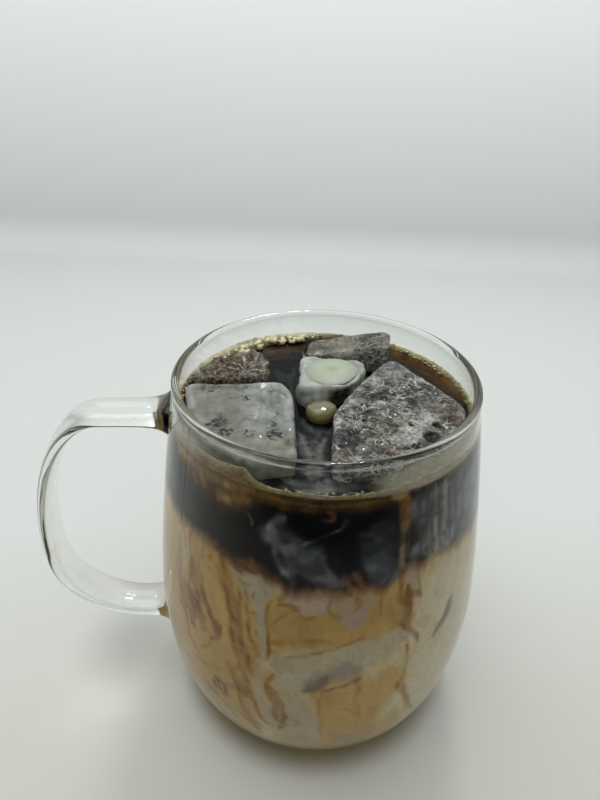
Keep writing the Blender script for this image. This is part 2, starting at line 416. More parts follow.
# Drops of meltwater on the ice: (x, y, radius)
MELT_DROPS = (
    (5.6, -19.7, 0.8), (6.2, -28.0, 0.9), (16.2, -17.6, 0.9), (18.0, -16.4, 0.7), (13.1, -4.6, 0.7),
    (20.4, -3.2, 0.8), (9.2, -19.0, 0.6), (14.6, -26.4, 0.7), (24.8, -10.6, 0.6), (8.4, -9.4, 0.6),
    (3.6, -12.4, 0.6), (17.6, 3.4, 0.6), (12.0, -12.2, 0.5), (-14.4, -4.0, 0.5), (-24.0, -6.8, 0.5),
    (21.4, -13.4, 0.6), (10.6, -31.0, 0.7), (4.6, -17.4, 0.5),
)

# Where the froth's upper edge is on the glass and how wide it lies: (angle in degrees, height, width)
FROTH_EDGE = (
    (-180, 104.5, 1.6), (-160, 105.0, 1.6), (-150, 105.6, 1.5), (-140, 106.3, 1.5), (-130, 106.4, 1.5),
    (-121, 107.4, 1.4), (-117, 105.4, 1.4), (-112, 104.4, 1.5), (-100, 104.4, 1.5), (-86, 104.3, 1.4),
    (-74, 104.8, 1.4), (-60, 105.6, 1.5), (-48, 105.2, 1.6), (-30, 104.6, 1.8), (0, 104.2, 1.8),
    (30, 104.4, 2.6), (50, 104.5, 2.2), (80, 104.3, 1.8), (100, 104.8, 3.2), (125, 105.2, 4.4),
    (145, 104.9, 3.0), (165, 104.5, 1.8), (180, 104.5, 1.6),
)

# The froth from the glass inwards: share of its width, and of the way down
FROTH_SLOPE = ((0.12, 0.0), (0.3, 0.1), (0.5, 0.3), (0.7, 0.55), (0.88, 0.8), (1.0, 1.0))

# Stretches of bubbles along the glass: first and last angle, width, count, least and most radius
BUBBLE_STRETCHES = (
    (96, 150, 3.6, 150, 0.35, 1.15), (86, 100, 1.6, 30, 0.3, 0.6), (20, 48, 1.8, 60, 0.25, 0.6),
    (-4, 20, 1.2, 24, 0.2, 0.45), (150, 182, 1.4, 40, 0.25, 0.55), (-70, -50, 1.2, 40, 0.2, 0.42),
    (-108, -82, 1.0, 30, 0.15, 0.4), (-48, -20, 1.2, 36, 0.2, 0.45), (-180, -152, 1.2, 30, 0.2, 0.45),
)

# The wall's pattern: mm of wall for a degree, waves of noise as (size, depth) that bend the front's
# strokes and their copies behind, the camera's sector, the layers' boundary between the copies, the
# least half width of a stroke, and how many degrees the strands lean for each mm of height
DEGREE_MM = 0.8
STROKE_WARP = ((2.6, 0.35), (8.0, 0.7))
COPY_WARP = ((3.2, 0.6), (12.0, 2.2))
FRONT_SECTOR = (-160.0, -28.0)
BACK_LAYER_EDGE = 82.5
THINNEST = 0.15
STRAND_LEAN = 0.5

# What the painted colours are multiplied by under this light
WALL_GAIN = 1.98
TOP_GAIN = 0.66
MILK_GAIN = 0.70
ICE_GAIN = 0.76
FROTH_GAIN = 0.8

# Materials: each net of the ice is its cells per metre, a thread's width in cells, and the scale, the
# low and the high of the noise that breaks it up
GLASS_TINT = (0.955, 0.965, 0.945)
GLASS_IOR = 1.48
LAMP_TINT = (0.93, 0.94, 0.92)
WATER_TINT = (0.8, 0.79, 0.72)
WATER_IOR = 1.33
ICE_IOR = 1.31
MELTED_SHARE = 0.45
WEB_WHITE = (0.43, 0.43, 0.385)
PIT_DARK = (0.012, 0.010, 0.008)
NET_THREADS = ((330.0, 0.08, (320.0, -0.6, 1.9)), (700.0, 0.09, (190.0, -1.0, 1.7)))
NOISE_RANGE = (0.3, 0.7)
GLOSS_SCALE = 260.0
COAT_ROUGHNESS = 0.04

# The board: its colours, what dims it, and in mm how far back it goes, its bend, half its width and
# its height
BOARD_NEAR = (0.60, 0.575, 0.49)
BOARD_MIDDLE = (0.735, 0.75, 0.725)
BOARD_FAR = (0.66, 0.68, 0.66)
BACKDROP_LOW = 0.82
BACKDROP_HIGH = 1.22
CONTACT = (0.40, 0.34, 0.22)
HANDLE_SHADE = 0.72
HANDLE_SHADE_PLACE = (-0.062, 0.002, 0.0)
BOARD_SIZES = (425.0, 30.0, 1600.0, 900.0)

# Light: the lamps' power in W, the room's strength and colour, and what gloss sees of its dark side
LAMP_POWER = 3.75
LAMP_COLOUR = (1.0, 0.99, 0.965)
GLINT_POWER = 0.85
ROOM_LIGHT = 0.5
ROOM_COLOUR = (0.93, 0.97, 1.0)
FRONT_LIGHT = 2.2
DARK_ROOM = 0.03


# Numbers and colours

def hashed(cell, salt=0):
    """A number from -1 to 1 that belongs to a lattice cell."""
    mixed = cell[:, 0] * 73856093 ^ cell[:, 1] * 19349663 ^ cell[:, 2] * 83492791 ^ salt * 40503
    mixed = (mixed ^ mixed >> 13) * 1274126177 & 0xFFFFFFFF
    mixed = (mixed ^ mixed >> 16) * 2246822519 & 0xFFFFFFFF
    return (mixed >> 8 & 0xFFFF) / 32767.5 - 1


def lattice_noise(points, size, seed):
    """Smooth noise from -1 to 1 on a cubic lattice of the given size."""
    where = np.asarray(points, float) / size + seed * 17.31
    cell = np.floor(where).astype(np.int64)
    part = where - cell
    part = part * part * (3 - 2 * part)
    total = np.zeros(len(where))
    for corner in np.ndindex(2, 2, 2):
        total += np.prod(np.where(corner, part, 1 - part), axis=1) * hashed(cell + corner)
    return total


def fractal(points, size, seed, octaves=3):
    total = sum(lattice_noise(points, size / 2 ** k, seed + k) / 2 ** k for k in range(octaves))
    return total / (2 - 2 ** (1 - octaves))


def cells(points, size, seed):
    """Distances to the nearest and the second nearest scattered point, over the cell size."""
    where = np.asarray(points, float) / size + seed * 11.7
    base = np.floor(where).astype(np.int64)
    nearest = np.full(len(where), 9.0)
    second = nearest.copy()
    for step in np.ndindex(3, 3, 3):
        cell = base + np.array(step) - 1
        place = cell + 0.5 + 0.45 * np.stack([hashed(cell, k + 1) for k in range(3)], 1)
        away = np.linalg.norm(place - where, axis=1)
        second = np.minimum(second, np.maximum(nearest, away))
        nearest = np.minimum(nearest, away)
    return nearest, second


def smooth(low, high, value):
    t = np.clip((value - low) / (high - low), 0, 1)
    return t * t * (3 - 2 * t)


def spline(points, per_span=8):
    """A smooth line through rows of numbers."""
    given = np.array(points, float)
    ends = np.vstack([2 * given[0] - given[1], given, 2 * given[-1] - given[-2]])
    out = []
    for a, b, c, d in zip(ends, ends[1:], ends[2:], ends[3:]):
        for t in np.arange(per_span) / per_span:
            out.append(b + 0.5 * ((c - a) * t + (2 * a - 5 * b + 4 * c - d) * t ** 2
                                  + (3 * b - a - 3 * c + d) * t ** 3))
    return np.array(out + [given[-1]])


def linear(colours, gain=1.0):
    """Colours of 0 to 255 as light, times a gain."""
    share = np.asarray(colours, float) / 255
    light = np.where(share < 0.04045, share / 12.92, ((share + 0.055) / 1.055) ** 2.4)
    return np.clip(light * gain, 0, 0.95)


def blend(base, tint, share):
    """Colours moved towards a tint by a share for each point."""
    return base + (np.array(tint, float) - base) * np.asarray(share)[:, None]


def layered(points, base, *layers):
    """A colour for each point: a base with tints laid over it, each by its share."""
    colours = np.tile(np.array(base, float), (len(points), 1))
    for tint, share in layers:
        colours = blend(colours, tint, share)
    return colours


def brush(colours, flat, tint, strength, softness, path, fray, *shares):
    """Lay one stroke over the colours at the flat places, which are in mm as the path is.

    The fray roughens its edge, and the shares thin it out place by place.
    """
    line = spline(path)
    line[:, 2] = np.maximum(line[:, 2], THINNEST)
    reach = line[:, 2].max() * (1 + softness) + 0.6
    inside = (flat > line[:, :2].min(0) - reach) & (flat < line[:, :2].max(0) + reach)
    near = np.nonzero(inside.all(1))[0]
    if not len(near):
        return
    place = flat[near]
    cover = np.full(len(near), -9.0)
    for start, end in zip(line, line[1:]):
        run = end[:2] - start[:2]
        t = np.clip((place - start[:2]) @ run / max(run @ run, 1e-9), 0, 1)
        away = np.linalg.norm(place - start[:2] - t[:, None] * run, axis=1)
        width = start[2] + (end[2] - start[2]) * t
        edge = width * (1 + softness) + THINNEST - away
        cover = np.maximum(cover, edge / (2 * width * softness + 2 * THINNEST))
    cover = strength * smooth(0, 1, cover + fray[near] * (0.3 + 0.4 * softness))
    for share in shares:
        cover = cover * share[near]
    colours[near] += (np.array(tint, float) - colours[near]) * cover[:, None]


# Profiles

def outer_radius(height):
    height = np.asarray(height, float)
    low = np.clip(height / BELLY_HEIGHT, 0, 1)
    fullness = (1 - (1 - low) ** LOWER_POWER) ** (1 / LOWER_ROUNDNESS)
    lower = FOOT_RADIUS + (BELLY_RADIUS - FOOT_RADIUS) * fullness
    rise = np.clip((height - BELLY_HEIGHT) / (MUG_HEIGHT - BELLY_HEIGHT), 0, None)
    upper = BELLY_RADIUS - (BELLY_RADIUS - RIM_RADIUS + BEAD_STANDS_PROUD) * rise ** UPPER_POWER
    return np.where(height < BELLY_HEIGHT, lower, upper)


def inner_wall(inset, heights):
    """The cavity's wall, moved in by an inset, as rows of (radius, height)."""
    step = 0.02
    low = np.maximum(heights - step, 0)
    rise = heights + step - low
    run = outer_radius(heights + step) - outer_radius(low)
    length = np.hypot(run, rise)
    thick = WALL + (BASE_THICKNESS - WALL) * np.exp(-heights / BASE_BLEND) + inset
    return np.stack([outer_radius(heights) - rise / length * thick, heights + run / length * thick], 1)


def inner_radius(height, inset=0.0):
    wall = inner_wall(inset, np.linspace(0, MUG_HEIGHT, 900))
    return np.interp(height, wall[:, 1], wall[:, 0])


# Meshes

def mesh_piece(name, points, faces, material, paint=None, numbers=None):
    """A mesh piece from points in mm, with its colours and numbers per point."""
    mesh = bpy.data.meshes.new(name)
    points = np.asarray(points, float)
    sizes = np.array([len(face) for face in faces])
    corners = np.concatenate([np.asarray(face) for face in faces])
    mesh.vertices.add(len(points))
    mesh.vertices.foreach_set("co", (points * MM).ravel())
    mesh.loops.add(int(sizes.sum()))
    mesh.loops.foreach_set("vertex_index", corners.astype(np.int32))
    mesh.polygons.add(len(faces))
    mesh.polygons.foreach_set("loop_start", np.concatenate([[0], np.cumsum(sizes)[:-1]]).astype(np.int32))
    mesh.update(calc_edges=True)
    mesh.validate()
    mesh.shade_smooth()
    mesh.set_sharp_from_angle(angle=radians(SHARP_ANGLE))
    if paint is not None:
        layer = mesh.color_attributes.new("paint", "FLOAT_COLOR", "POINT")
        shown = np.column_stack([paint, np.ones(len(points))])
        layer.data.foreach_set("color", shown.astype(np.float32).ravel())
    for key, values in (numbers or {}).items():
        layer = mesh.attributes.new(key, "FLOAT", "POINT")
        layer.data.foreach_set("value", np.asarray(values, np.float32))
    made = bpy.data.objects.new(name, mesh)
    bpy.context.scene.collection.objects.link(made)
    mesh.materials.append(material)
    return made


def grid_faces(rows, columns, wrap=True):
    """Quads over a grid of points stored row by row."""
    i, j = np.meshgrid(np.arange(rows - 1), np.arange(columns if wrap else columns - 1), indexing="ij")
    here, there = i.ravel() * columns, (i.ravel() + 1) * columns
    j = j.ravel()
    k = (j + 1) % columns
    return np.stack([here + j, here + k, there + k, there + j], 1).tolist()


def closed_faces(rows, columns):
    """The faces of a tube of rings whose two ends are closed."""
    last = (rows - 1) * columns
    return grid_faces(rows, columns) + [list(range(columns))[::-1], list(range(last, last + columns))]


def even_angles(count):
    return np.arange(count) * 2 * pi / count


def turned_points(profile, angles):
    """Rows of points round Z for each (radius, height)."""
    profile = np.asarray(profile, float)
    r, z = profile[:, :1], profile[:, 1:]
    x, y = r * np.cos(angles), r * np.sin(angles)
    return np.stack([x, y, z + 0 * x], 2)


def rounds_of(points):
    """Each point's angle round Z in degrees and its distance from Z."""
    return np.degrees(np.arctan2(points[:, 1], points[:, 0])), np.hypot(points[:, 0], points[:, 1])


def dress(piece, slot, *nodes):
    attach(piece, "root")
    if nodes:
        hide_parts(*nodes)
    return piece


# Materials

def new_material(name):
    made = bpy.data.materials.new(name)
    made.use_nodes = True
    tree = made.node_tree
    return made, tree, tree.nodes["Principled BSDF"]


def put(tree, socket, value):
    """Set a socket to a value, or link what another node gives to it."""
    if isinstance(value, bpy.types.NodeSocket):
        tree.links.new(value, socket)
    else:
        socket.default_value = value


def fit(tree, node, **settings):
    """Give a node's inputs and settings by name, with _ for a space in an input's name."""
    for key, value in settings.items():
        socket = key.replace("_", " ")
        if socket in node.inputs:
            put(tree, node.inputs[socket], value)
        else:
            setattr(node, key, value)
    return node


def add(tree, kind, *values, **settings):
    """A shader node with its inputs given in order, or by name with its settings."""
    node = fit(tree, tree.nodes.new("ShaderNode" + kind), **settings)
    for socket, value in zip(node.inputs, values):
        put(tree, socket, value)
    return node


def span(tree, value, low, high, first=0.0, last=1.0, **settings):
    """A value's range stretched to another, clamped."""
    return add(tree, "MapRange", Value=value, From_Min=low, From_Max=high, To_Min=first, To_Max=last,
               **settings).outputs["Result"]


def maths(tree, operation, *values):
    return add(tree, "Math", *values, operation=operation).outputs[0]


def scaled(tree, vector, factor):
    return add(tree, "VectorMath", vector, operation="SCALE", Scale=factor).outputs[0]


def object_place(tree):
    return add(tree, "TexCoord").outputs["Object"]


def attribute(tree, name):
    return add(tree, "Attribute", attribute_name=name).outputs


def noise_factor(tree, scale, low, high, detail=3.0):
    """A noise per object place that runs from low to high."""
    noise = add(tree, "TexNoise", Vector=object_place(tree), Scale=scale, Detail=detail)
    return span(tree, noise.outputs["Fac"], *NOISE_RANGE, low, high)


def blended(tree, factor, first, tint):
    """A colour blended towards a plain tint."""
    node = add(tree, "Mix", data_type="RGBA", Factor=factor)
    put(tree, node.inputs[6], first)
    put(tree, node.inputs[7], (*tint, 1.0))
    return node.outputs[2]


def bent_place(tree, scale, depth):
    """Object places pushed about by noise."""
    noise = add(tree, "TexNoise", Vector=object_place(tree), Scale=scale, Detail=2.0)
    return add(tree, "VectorMath", noise.outputs["Color"], (depth, depth, depth), object_place(tree),
               operation="MULTIPLY_ADD").outputs[0]


def bump(tree, shader, height, strength, depth):
    """A relief of the given depth in mm."""
    relief = add(tree, "Bump", Strength=strength, Distance=depth * MM, Height=height)
    fit(tree, shader, Normal=relief.outputs["Normal"])


def painted(name, roughness, specular=0.5, coat=0.0, grain=(900.0, 0.92, 1.08), relief=None, ior=1.4):
    """The colours painted on the points, with a fine grain, uneven gloss and a relief of (scale, depth)."""
    made, tree, shader = new_material(name)
    fit(tree, shader, Base_Color=scaled(tree, attribute(tree, "paint")["Color"], noise_factor(tree, *grain)),
        Roughness=noise_factor(tree, GLOSS_SCALE, *roughness), Specular_IOR_Level=specular, IOR=ior,
        Coat_Weight=coat, Coat_Roughness=COAT_ROUGHNESS)
    if relief:
        scale, depth = relief
        bump(tree, shader, noise_factor(tree, scale, 0.0, 1.0), 1.0, depth)
    return made


def through_for_lamps(tree, shader, tint):
    """Lets lamps shine through clear glass, as they do in life."""
    output = next(node for node in tree.nodes if node.type == "OUTPUT_MATERIAL")
    clear = add(tree, "BsdfTransparent", Color=(*tint, 1.0))
    mix = add(tree, "MixShader", add(tree, "LightPath").outputs["Is Shadow Ray"], shader.outputs["BSDF"],
              clear.outputs["BSDF"])
    tree.links.new(mix.outputs["Shader"], output.inputs["Surface"])


def glass_material():
    made, tree, shader = new_material("clear_glass")
    fit(tree, shader, Base_Color=(*GLASS_TINT, 1.0), Transmission_Weight=1.0, IOR=GLASS_IOR,
        Roughness=noise_factor(tree, 60.0, 0.0, 0.012))
    through_for_lamps(tree, shader, LAMP_TINT)
    return made


def meltwater_material():
    made, tree, shader = new_material("meltwater")
    fit(tree, shader, Base_Color=(*WATER_TINT, 1.0), Transmission_Weight=0.9, IOR=WATER_IOR,
        Specular_IOR_Level=0.7, Roughness=noise_factor(tree, 500.0, 0.0, 0.03))
    return made


def ice_material():
    """Melting ice, by the points' numbers: a net of milk foam and dark pits over clear or clouded ice."""
    made, tree, shader = new_material("melting_ice")
    web, pits = attribute(tree, "web")["Fac"], attribute(tree, "pits")["Fac"]
    bent = bent_place(tree, 230.0, 0.0042)
    threads = []
    for scale, width, patches in NET_THREADS:
        cell = add(tree, "TexVoronoi", feature="DISTANCE_TO_EDGE", Vector=bent, Scale=scale)
        thread = span(tree, cell.outputs["Distance"], 0.01, width, 1.0, 0.0)
        threads.append(maths(tree, "MULTIPLY", thread, noise_factor(tree, *patches)))
    foam = maths(tree, "MULTIPLY", noise_factor(tree, 260.0, -2.0, 1.8, 7.0), 0.6)
    net = maths(tree, "MAXIMUM", maths(tree, "MAXIMUM", *threads), foam)
    white = span(tree, maths(tree, "MULTIPLY", net, web), 0.0, 1.0)
    specks = span(tree, maths(tree, "MULTIPLY", noise_factor(tree, 1050.0, -1.6, 2.6), pits), 0.0, 1.0)
    coloured = scaled(tree, attribute(tree, "paint")["Color"], noise_factor(tree, 260.0, 0.8, 1.2))
    coloured = blended(tree, specks, blended(tree, white, coloured, WEB_WHITE), PIT_DARK)
    through = maths(tree, "MULTIPLY", attribute(tree, "clear")["Fac"], span(tree, white, 0.0, 1.0, 1.0, 0.0))
    fit(tree, shader, Base_Color=coloured, Transmission_Weight=through, IOR=ICE_IOR, Specular_IOR_Level=0.6,
        Roughness=noise_factor(tree, 300.0, 0.03, 0.12))
    swell = noise_factor(tree, 210.0, 0.0, 1.5, 1.0)
    swell = maths(tree, "MULTIPLY", swell, span(tree, web, 0.0, 0.8, 0.55, 1.0))
    height = maths(tree, "ADD", maths(tree, "MULTIPLY", white, 0.35), swell)
    bump(tree, shader, maths(tree, "SUBTRACT", height, specks), 0.8, 0.65)
    return made


# The glass

def glass_profile():
    """Half of the glass's section, from the axis below, over the bead and back to the axis inside."""
    bead_r, bead_z = RIM_RADIUS - BEAD_RADIUS, MUG_HEIGHT - BEAD_RADIUS
    below = bead_z - BEAD_RADIUS * 0.75
    heights = below * (np.arange(WALL_STEPS) / (WALL_STEPS - 1)) ** WALL_CROWDING
    rows = [(0.0, 0.0), (FOOT_RADIUS * 0.55, 0.0), (FOOT_RADIUS * 0.93, 0.0)]
    rows += list(zip(outer_radius(heights), heights))
    for turn in np.radians(np.linspace(-38, 218, 22)):
        rows.append((bead_r + BEAD_RADIUS * cos(turn), bead_z + BEAD_RADIUS * sin(turn)))
    inside = inner_wall(0.0, heights)[::-1]
    rows += [tuple(row) for row in inside if BASE_THICKNESS + 0.05 < row[1] < below - 0.3]
    floor = rows[-1][0]
    return rows + [(floor * share, BASE_THICKNESS) for share in (0.97, 0.6, 0.0)]


def lathe(name, profile, segments, material):
    """A closed turned mesh whose first and last points are on the axis."""
    body = turned_points(profile[1:-1], even_angles(segments))
    points = np.vstack([body.reshape(-1, 3), [[0, 0, profile[0][1]], [0, 0, profile[-1][1]]]])
    faces = grid_faces(len(body), segments)
    first, last = len(points) - 2, len(points) - 1
    top = (len(body) - 1) * segments
    for j in range(segments):
        k = (j + 1) % segments
        faces += [[first, k, j], [last, top + j, top + k]]
    return mesh_piece(name, points, faces, material)


def handle_line():
    """The strap's centreline as (outward, height), from wall to wall."""
    top_reach, top_drop = HANDLE_TOP_CORNER
    low_reach, low_drop = HANDLE_BOTTOM_CORNER
    start_top, start_low = float(outer_radius(HANDLE_TOP)), float(outer_radius(HANDLE_BOTTOM))
    top_arm = np.linspace(0, HANDLE_REACH - top_reach - start_top, 15)
    low_arm = np.linspace(HANDLE_REACH - low_reach - start_low, 0, 10)
    corner = np.linspace(0, pi / 2, 30)
    line = [(start_top + step, HANDLE_TOP) for step in np.concatenate([[-HANDLE_ROOT], top_arm])]
    line += [(HANDLE_REACH - top_reach * (1 - sin(turn)), HANDLE_TOP - top_drop * (1 - cos(turn)))
             for turn in corner]
    line += [(HANDLE_REACH - low_reach * (1 - cos(turn)), HANDLE_BOTTOM + low_drop * (1 - sin(turn)))
             for turn in corner]
    line += [(start_low + step, HANDLE_BOTTOM) for step in np.concatenate([low_arm, [-HANDLE_ROOT]])]
    apart = [line[0]]
    for point in line[1:]:
        if np.hypot(point[0] - apart[-1][0], point[1] - apart[-1][1]) > 0.4:
            apart.append(point)
    return np.array(apart)


def handle_strap(material):
    line = handle_line()
    along = np.gradient(line, axis=0)
    along /= np.linalg.norm(along, axis=1)[:, None]
    away = np.maximum(line[:, 0] - outer_radius(line[:, 1]), 0)
    swell = np.exp(-away / FLARE_LENGTH)
    turn = 2 * pi * (np.arange(STRAP_SIDES) + 0.5) / STRAP_SIDES
    wide, thick = (np.abs(wave) ** HANDLE_ROUNDNESS * np.sign(wave) * size / 2
                   for wave, size in ((np.cos(turn), HANDLE_WIDTH), (np.sin(turn), HANDLE_THICKNESS)))
    rings = []
    for (out, height), (d_out, d_height), s in zip(line, along, swell):
        t = thick * (1 + FLARE_THICKNESS * s)
        rings.append(np.stack([-(out - d_height * t), wide * (1 + FLARE_WIDTH * s), height + d_out * t], 1))
    return mesh_piece("handle_strap", np.concatenate(rings), closed_faces(len(rings), STRAP_SIDES), material)


def union(target, tool):
    step = target.modifiers.new("union", "BOOLEAN")
    step.operation, step.solver, step.object = "UNION", "EXACT", tool
    fresh = bpy.data.meshes.new_from_object(target.evaluated_get(bpy.context.evaluated_depsgraph_get()))
    target.modifiers.clear()
    target.data = fresh
    bpy.data.objects.remove(tool, do_unlink=True)
    fresh.shade_smooth()
    fresh.set_sharp_from_angle(angle=radians(SHARP_ANGLE))


def recalculated(piece):
    work = bmesh.new()
    work.from_mesh(piece.data)
    bmesh.ops.recalc_face_normals(work, faces=work.faces)
    work.to_mesh(piece.data)
    work.free()
    return piece


def fine_glass():
    material = glass_material()
    mug = recalculated(lathe("fine_mug", glass_profile(), MUG_SIDES, material))
    union(mug, recalculated(handle_strap(material)))
    dress(mug, "clear_glass", "glass_mug")


# The drink

def warped(places, seed, waves):
    """How far the flat places are pushed about, by noise on the round wall."""
    push = np.zeros((len(places), 2))
    for k, (size, depth) in enumerate(waves):
        push[:, 0] += depth * lattice_noise(places, size, seed + 2 * k)
        push[:, 1] += depth * lattice_noise(places, size, seed + 2 * k + 1)
    return push


def sector_angle(angles, middle):
    return (angles - middle + 180) % 360 - 180 + middle


def wall_views(degrees):
    """The strokes' own angle and weight for each of their three laps round the mug."""
    low, high = FRONT_SECTOR
    half = (high - low) / 2
    front = sector_angle(degrees, low + half)
    yield front, smooth(low - 6, low + 4, front) * smooth(high + 6, high - 4, front), STROKE_WARP, 1
    right = 2 * high - 2 - sector_angle(degrees, high + half)
    yield right, smooth(high + 2, high - 8, right) * smooth(low - 6, low + 8, right), COPY_WARP, 21
    left = 2 * low + 2 - sector_angle(degrees, low - half)
    yield left, smooth(low - 2, low + 8, left) * smooth(high + 6, high - 8, left), COPY_WARP, 41


def lay_strokes(colours, views, strokes, fray, parts_for):
    """Lay the wall's strokes in each view, a view being its flat places and their weight.

    For each tint, parts_for gives the shares that break its strokes up.
    """
    for flat, weight in views:
        for tint, strength, softness, path in strokes:
            mm_path = [(angle * DEGREE_MM, z, width) for angle, z, width in path]
            brush(colours, flat, tint, strength, softness, mm_path, fray, weight, *parts_for(tint))


def wall_colours(points):
    """The drink's colours where it lies against the glass."""
    degrees, reach = rounds_of(points)
    height = points[:, 2]
    laps = list(wall_views(degrees))
    views = [(np.stack([own * DEGREE_MM, height], 1) + warped(points, seed, waves), weight)
             for own, weight, waves, seed in laps]
    # how high the dark coffee ends
    edge = np.array(LAYER_EDGE, float)
    total = 1e-6 + sum(weight for _, weight in views)
    layer = sum(weight * np.interp(own, edge[:, 0], edge[:, 1]) for own, weight, _, _ in laps)
    layer = (layer + BACK_LAYER_EDGE * np.maximum(0, 1 - total)) / np.maximum(total, 1)
    # noises that break the strokes up
    bend = fractal(points, 14.0, 5)
    strands = fractal(points * (1, 1, 0.16) + bend[:, None] * 3.0, 2.6, 7)
    fray = 0.8 * fractal(points * (1, 1, 0.6), 2.0, 19) + 0.9 * fractal(points, 5.5, 39)
    smoke_parts = 0.72 + 0.28 * smooth(-0.3, 0.3, fractal(points * (1, 1, 0.7), 4.0, 43))
    lean = np.radians(degrees + STRAND_LEAN * height)
    leaning = np.stack([reach * np.cos(lean), reach * np.sin(lean), 0.2 * height], 1)
    wander = np.stack([fractal(points, 9.0, 31), fractal(points, 9.0, 33), fractal(points, 4.0, 35)], 1)
    filaments = fractal(leaning + wander * (4.5, 4.5, 1.0), 2.3, 29)
    strand_parts = 0.45 + 0.55 * smooth(-0.25, 0.3, filaments)
    clouds = fractal(points * (1, 1, 0.7) + bend[:, None] * 2.0, 3.2, 23)
    cloud_parts = 0.55 + 0.45 * smooth(-0.35, 0.3, clouds)
    # the milky field: broad tan and cream clouds, its strokes, and fine strands that hang down
    colours = layered(points, TAN, (CREAM, smooth(-0.25, 0.55, fractal(points * (1, 1, 0.6), 24.0, 3))))
    lay_strokes(colours, views, MILK_STROKES, fray,
                lambda tint: [strand_parts] if tint in STRANDED else [smoke_parts] if tint in SMOKY else [])
    left_side = sum(weight * smooth(-105, -118, own) * smooth(-150, -138, own) for own, weight, _, _ in laps)
    thread = smooth(0.1, 0.42, filaments) * (0.14 + 0.72 * left_side) * smooth(10, 30, height)
    colours = blend(colours, STRAND, thread * (0.4 + 0.6 * smooth(-0.3, 0.3, fractal(points, 11.0, 37))))
    colours *= 1 + 0.04 * strands[:, None] + 0.035 * fractal(points, 5.0, 11)[:, None]
    # olive shade low on the foot's curve
    colours = blend(colours, np.array(OLIVE) * 0.8, 0.5 * smooth(17, 6, height))
    # the dark coffee above, with a maroon lower edge and smoky milk in it
    ragged = height - layer - 1.6 * fractal(points * (1, 1, 0.4), 3.4, 13) - 1.5 * strands
    colours = blend(colours, MAROON, smooth(-4.2, -0.4, ragged) * 0.6)
    dark = np.array(BLACK) + 10 * smooth(0.1, 0.8, bend)[:, None]
    colours = blend(colours, dark, smooth(-1.4, 1.8, ragged))
    lay_strokes(colours, views, DARK_STROKES + EDGE_STROKES, fray, lambda tint: [cloud_parts])
    # amber behind the handle's upper joint
    from_handle = np.abs(sector_angle(degrees, 180) - 180) + 9 * fractal(points * (1, 1, 0.5), 7.0, 45)
    joint = smooth(28, 10, from_handle) * smooth(84, 93, height + 5 * fractal(points, 6.0, 47))
    colours = blend(colours, np.array(AMBER) * 0.8, 0.75 * joint)
    # the coffee turns amber in its thin top edge
    thin = smooth(101.9, 103.2, height + 0.5 * fractal(points, 3.0, 17))
    return blend(colours, np.array(DEEP_AMBER) * 0.75, thin * 0.6)


def wall_angles():
    """Angles round the drink, closest together on the camera's side."""
    low, high = FRONT_SECTOR
    front = np.arange(low, high, FRONT_STEP)
    back = np.linspace(high, low + 360, BACK_STEPS)[:-1]
    return np.radians(np.concatenate([front, back]))


def drink_wall():
    angles = wall_angles()
    low_rows = (np.arange(LOW_ROWS) / (LOW_ROWS - 1)) ** LOW_CROWDING * ROWS_CHANGE
    high_rows = np.linspace(ROWS_CHANGE, WALL_TOP, HIGH_ROWS)[1:]
    profile = inner_wall(-INTO_WALL, np.concatenate([low_rows, high_rows]))
    floor = BASE_THICKNESS - INTO_WALL
    profile = profile[(profile[:, 1] > floor + 0.05) & (profile[:, 1] < DRINK_LEVEL + 0.5)]
    profile = np.vstack([[[profile[0, 0] * share, floor] for share in (0.4, 0.8, 0.97)], profile])
    points = turned_points(profile, angles).reshape(-1, 3)
    faces = grid_faces(len(profile), len(angles)) + [list(range(len(angles)))[::-1]]
    material = painted("swirled_coffee", (0.45, 0.6), specular=0.0)
    dress(mesh_piece("drink", points, faces, material, linear(wall_colours(points), WALL_GAIN)),
          "milky_coffee", "milk_layer")


def top_relief(x, y):
    """The drink's surface: flat, drawn up a little at the glass."""
    away = inner_radius(DRINK_LEVEL) - np.hypot(x, y)
    return DRINK_LEVEL + 0.9 * np.exp(-np.maximum(away, 0) / 0.9)


def top_colours(points):
    degrees, reach = rounds_of(points)
    flat = points[:, :2] + warped(points, 61, ((2.4, 0.25), (7.0, 0.5)))
    rim = inner_radius(DRINK_LEVEL) - reach
    backward = smooth(-8, 14, degrees) * smooth(66, 44, degrees)
    colours = layered(
        points, INK,
        (np.array(DEEP_AMBER) * 0.8, 0.7 * smooth(3.2, 0.4, rim)),
        (RUSSET, 0.9 * backward * smooth(10.0, 4.0, rim)),
        (np.array(GOLD, float) * 1.25, 0.85 * backward * smooth(4.2, 1.2, rim)))
    fray = 0.9 * fractal(points, 2.2, 63) + 0.5 * fractal(points, 0.9, 65)
    parts = 0.5 + 0.5 * smooth(-0.4, 0.1, fractal(points * (1.6, 0.6, 1), 1.7, 69))
    for stroke in TOP_STROKES:
        brush(colours, flat, *stroke, fray, *([parts] if stroke[0] in (WISP, PALE_WISP) else []))
    milky = all_spots(points, MILKY_GAP) * smooth(-0.35, 0.3, fractal(points * (1.5, 0.7, 1), 2.2, 68))
    colours = blend(colours, PALE_WISP, milky)
    return blend(colours, WISP, smooth(0.1, 0.7, fractal(points, 5.0, 67)) * 0.16)


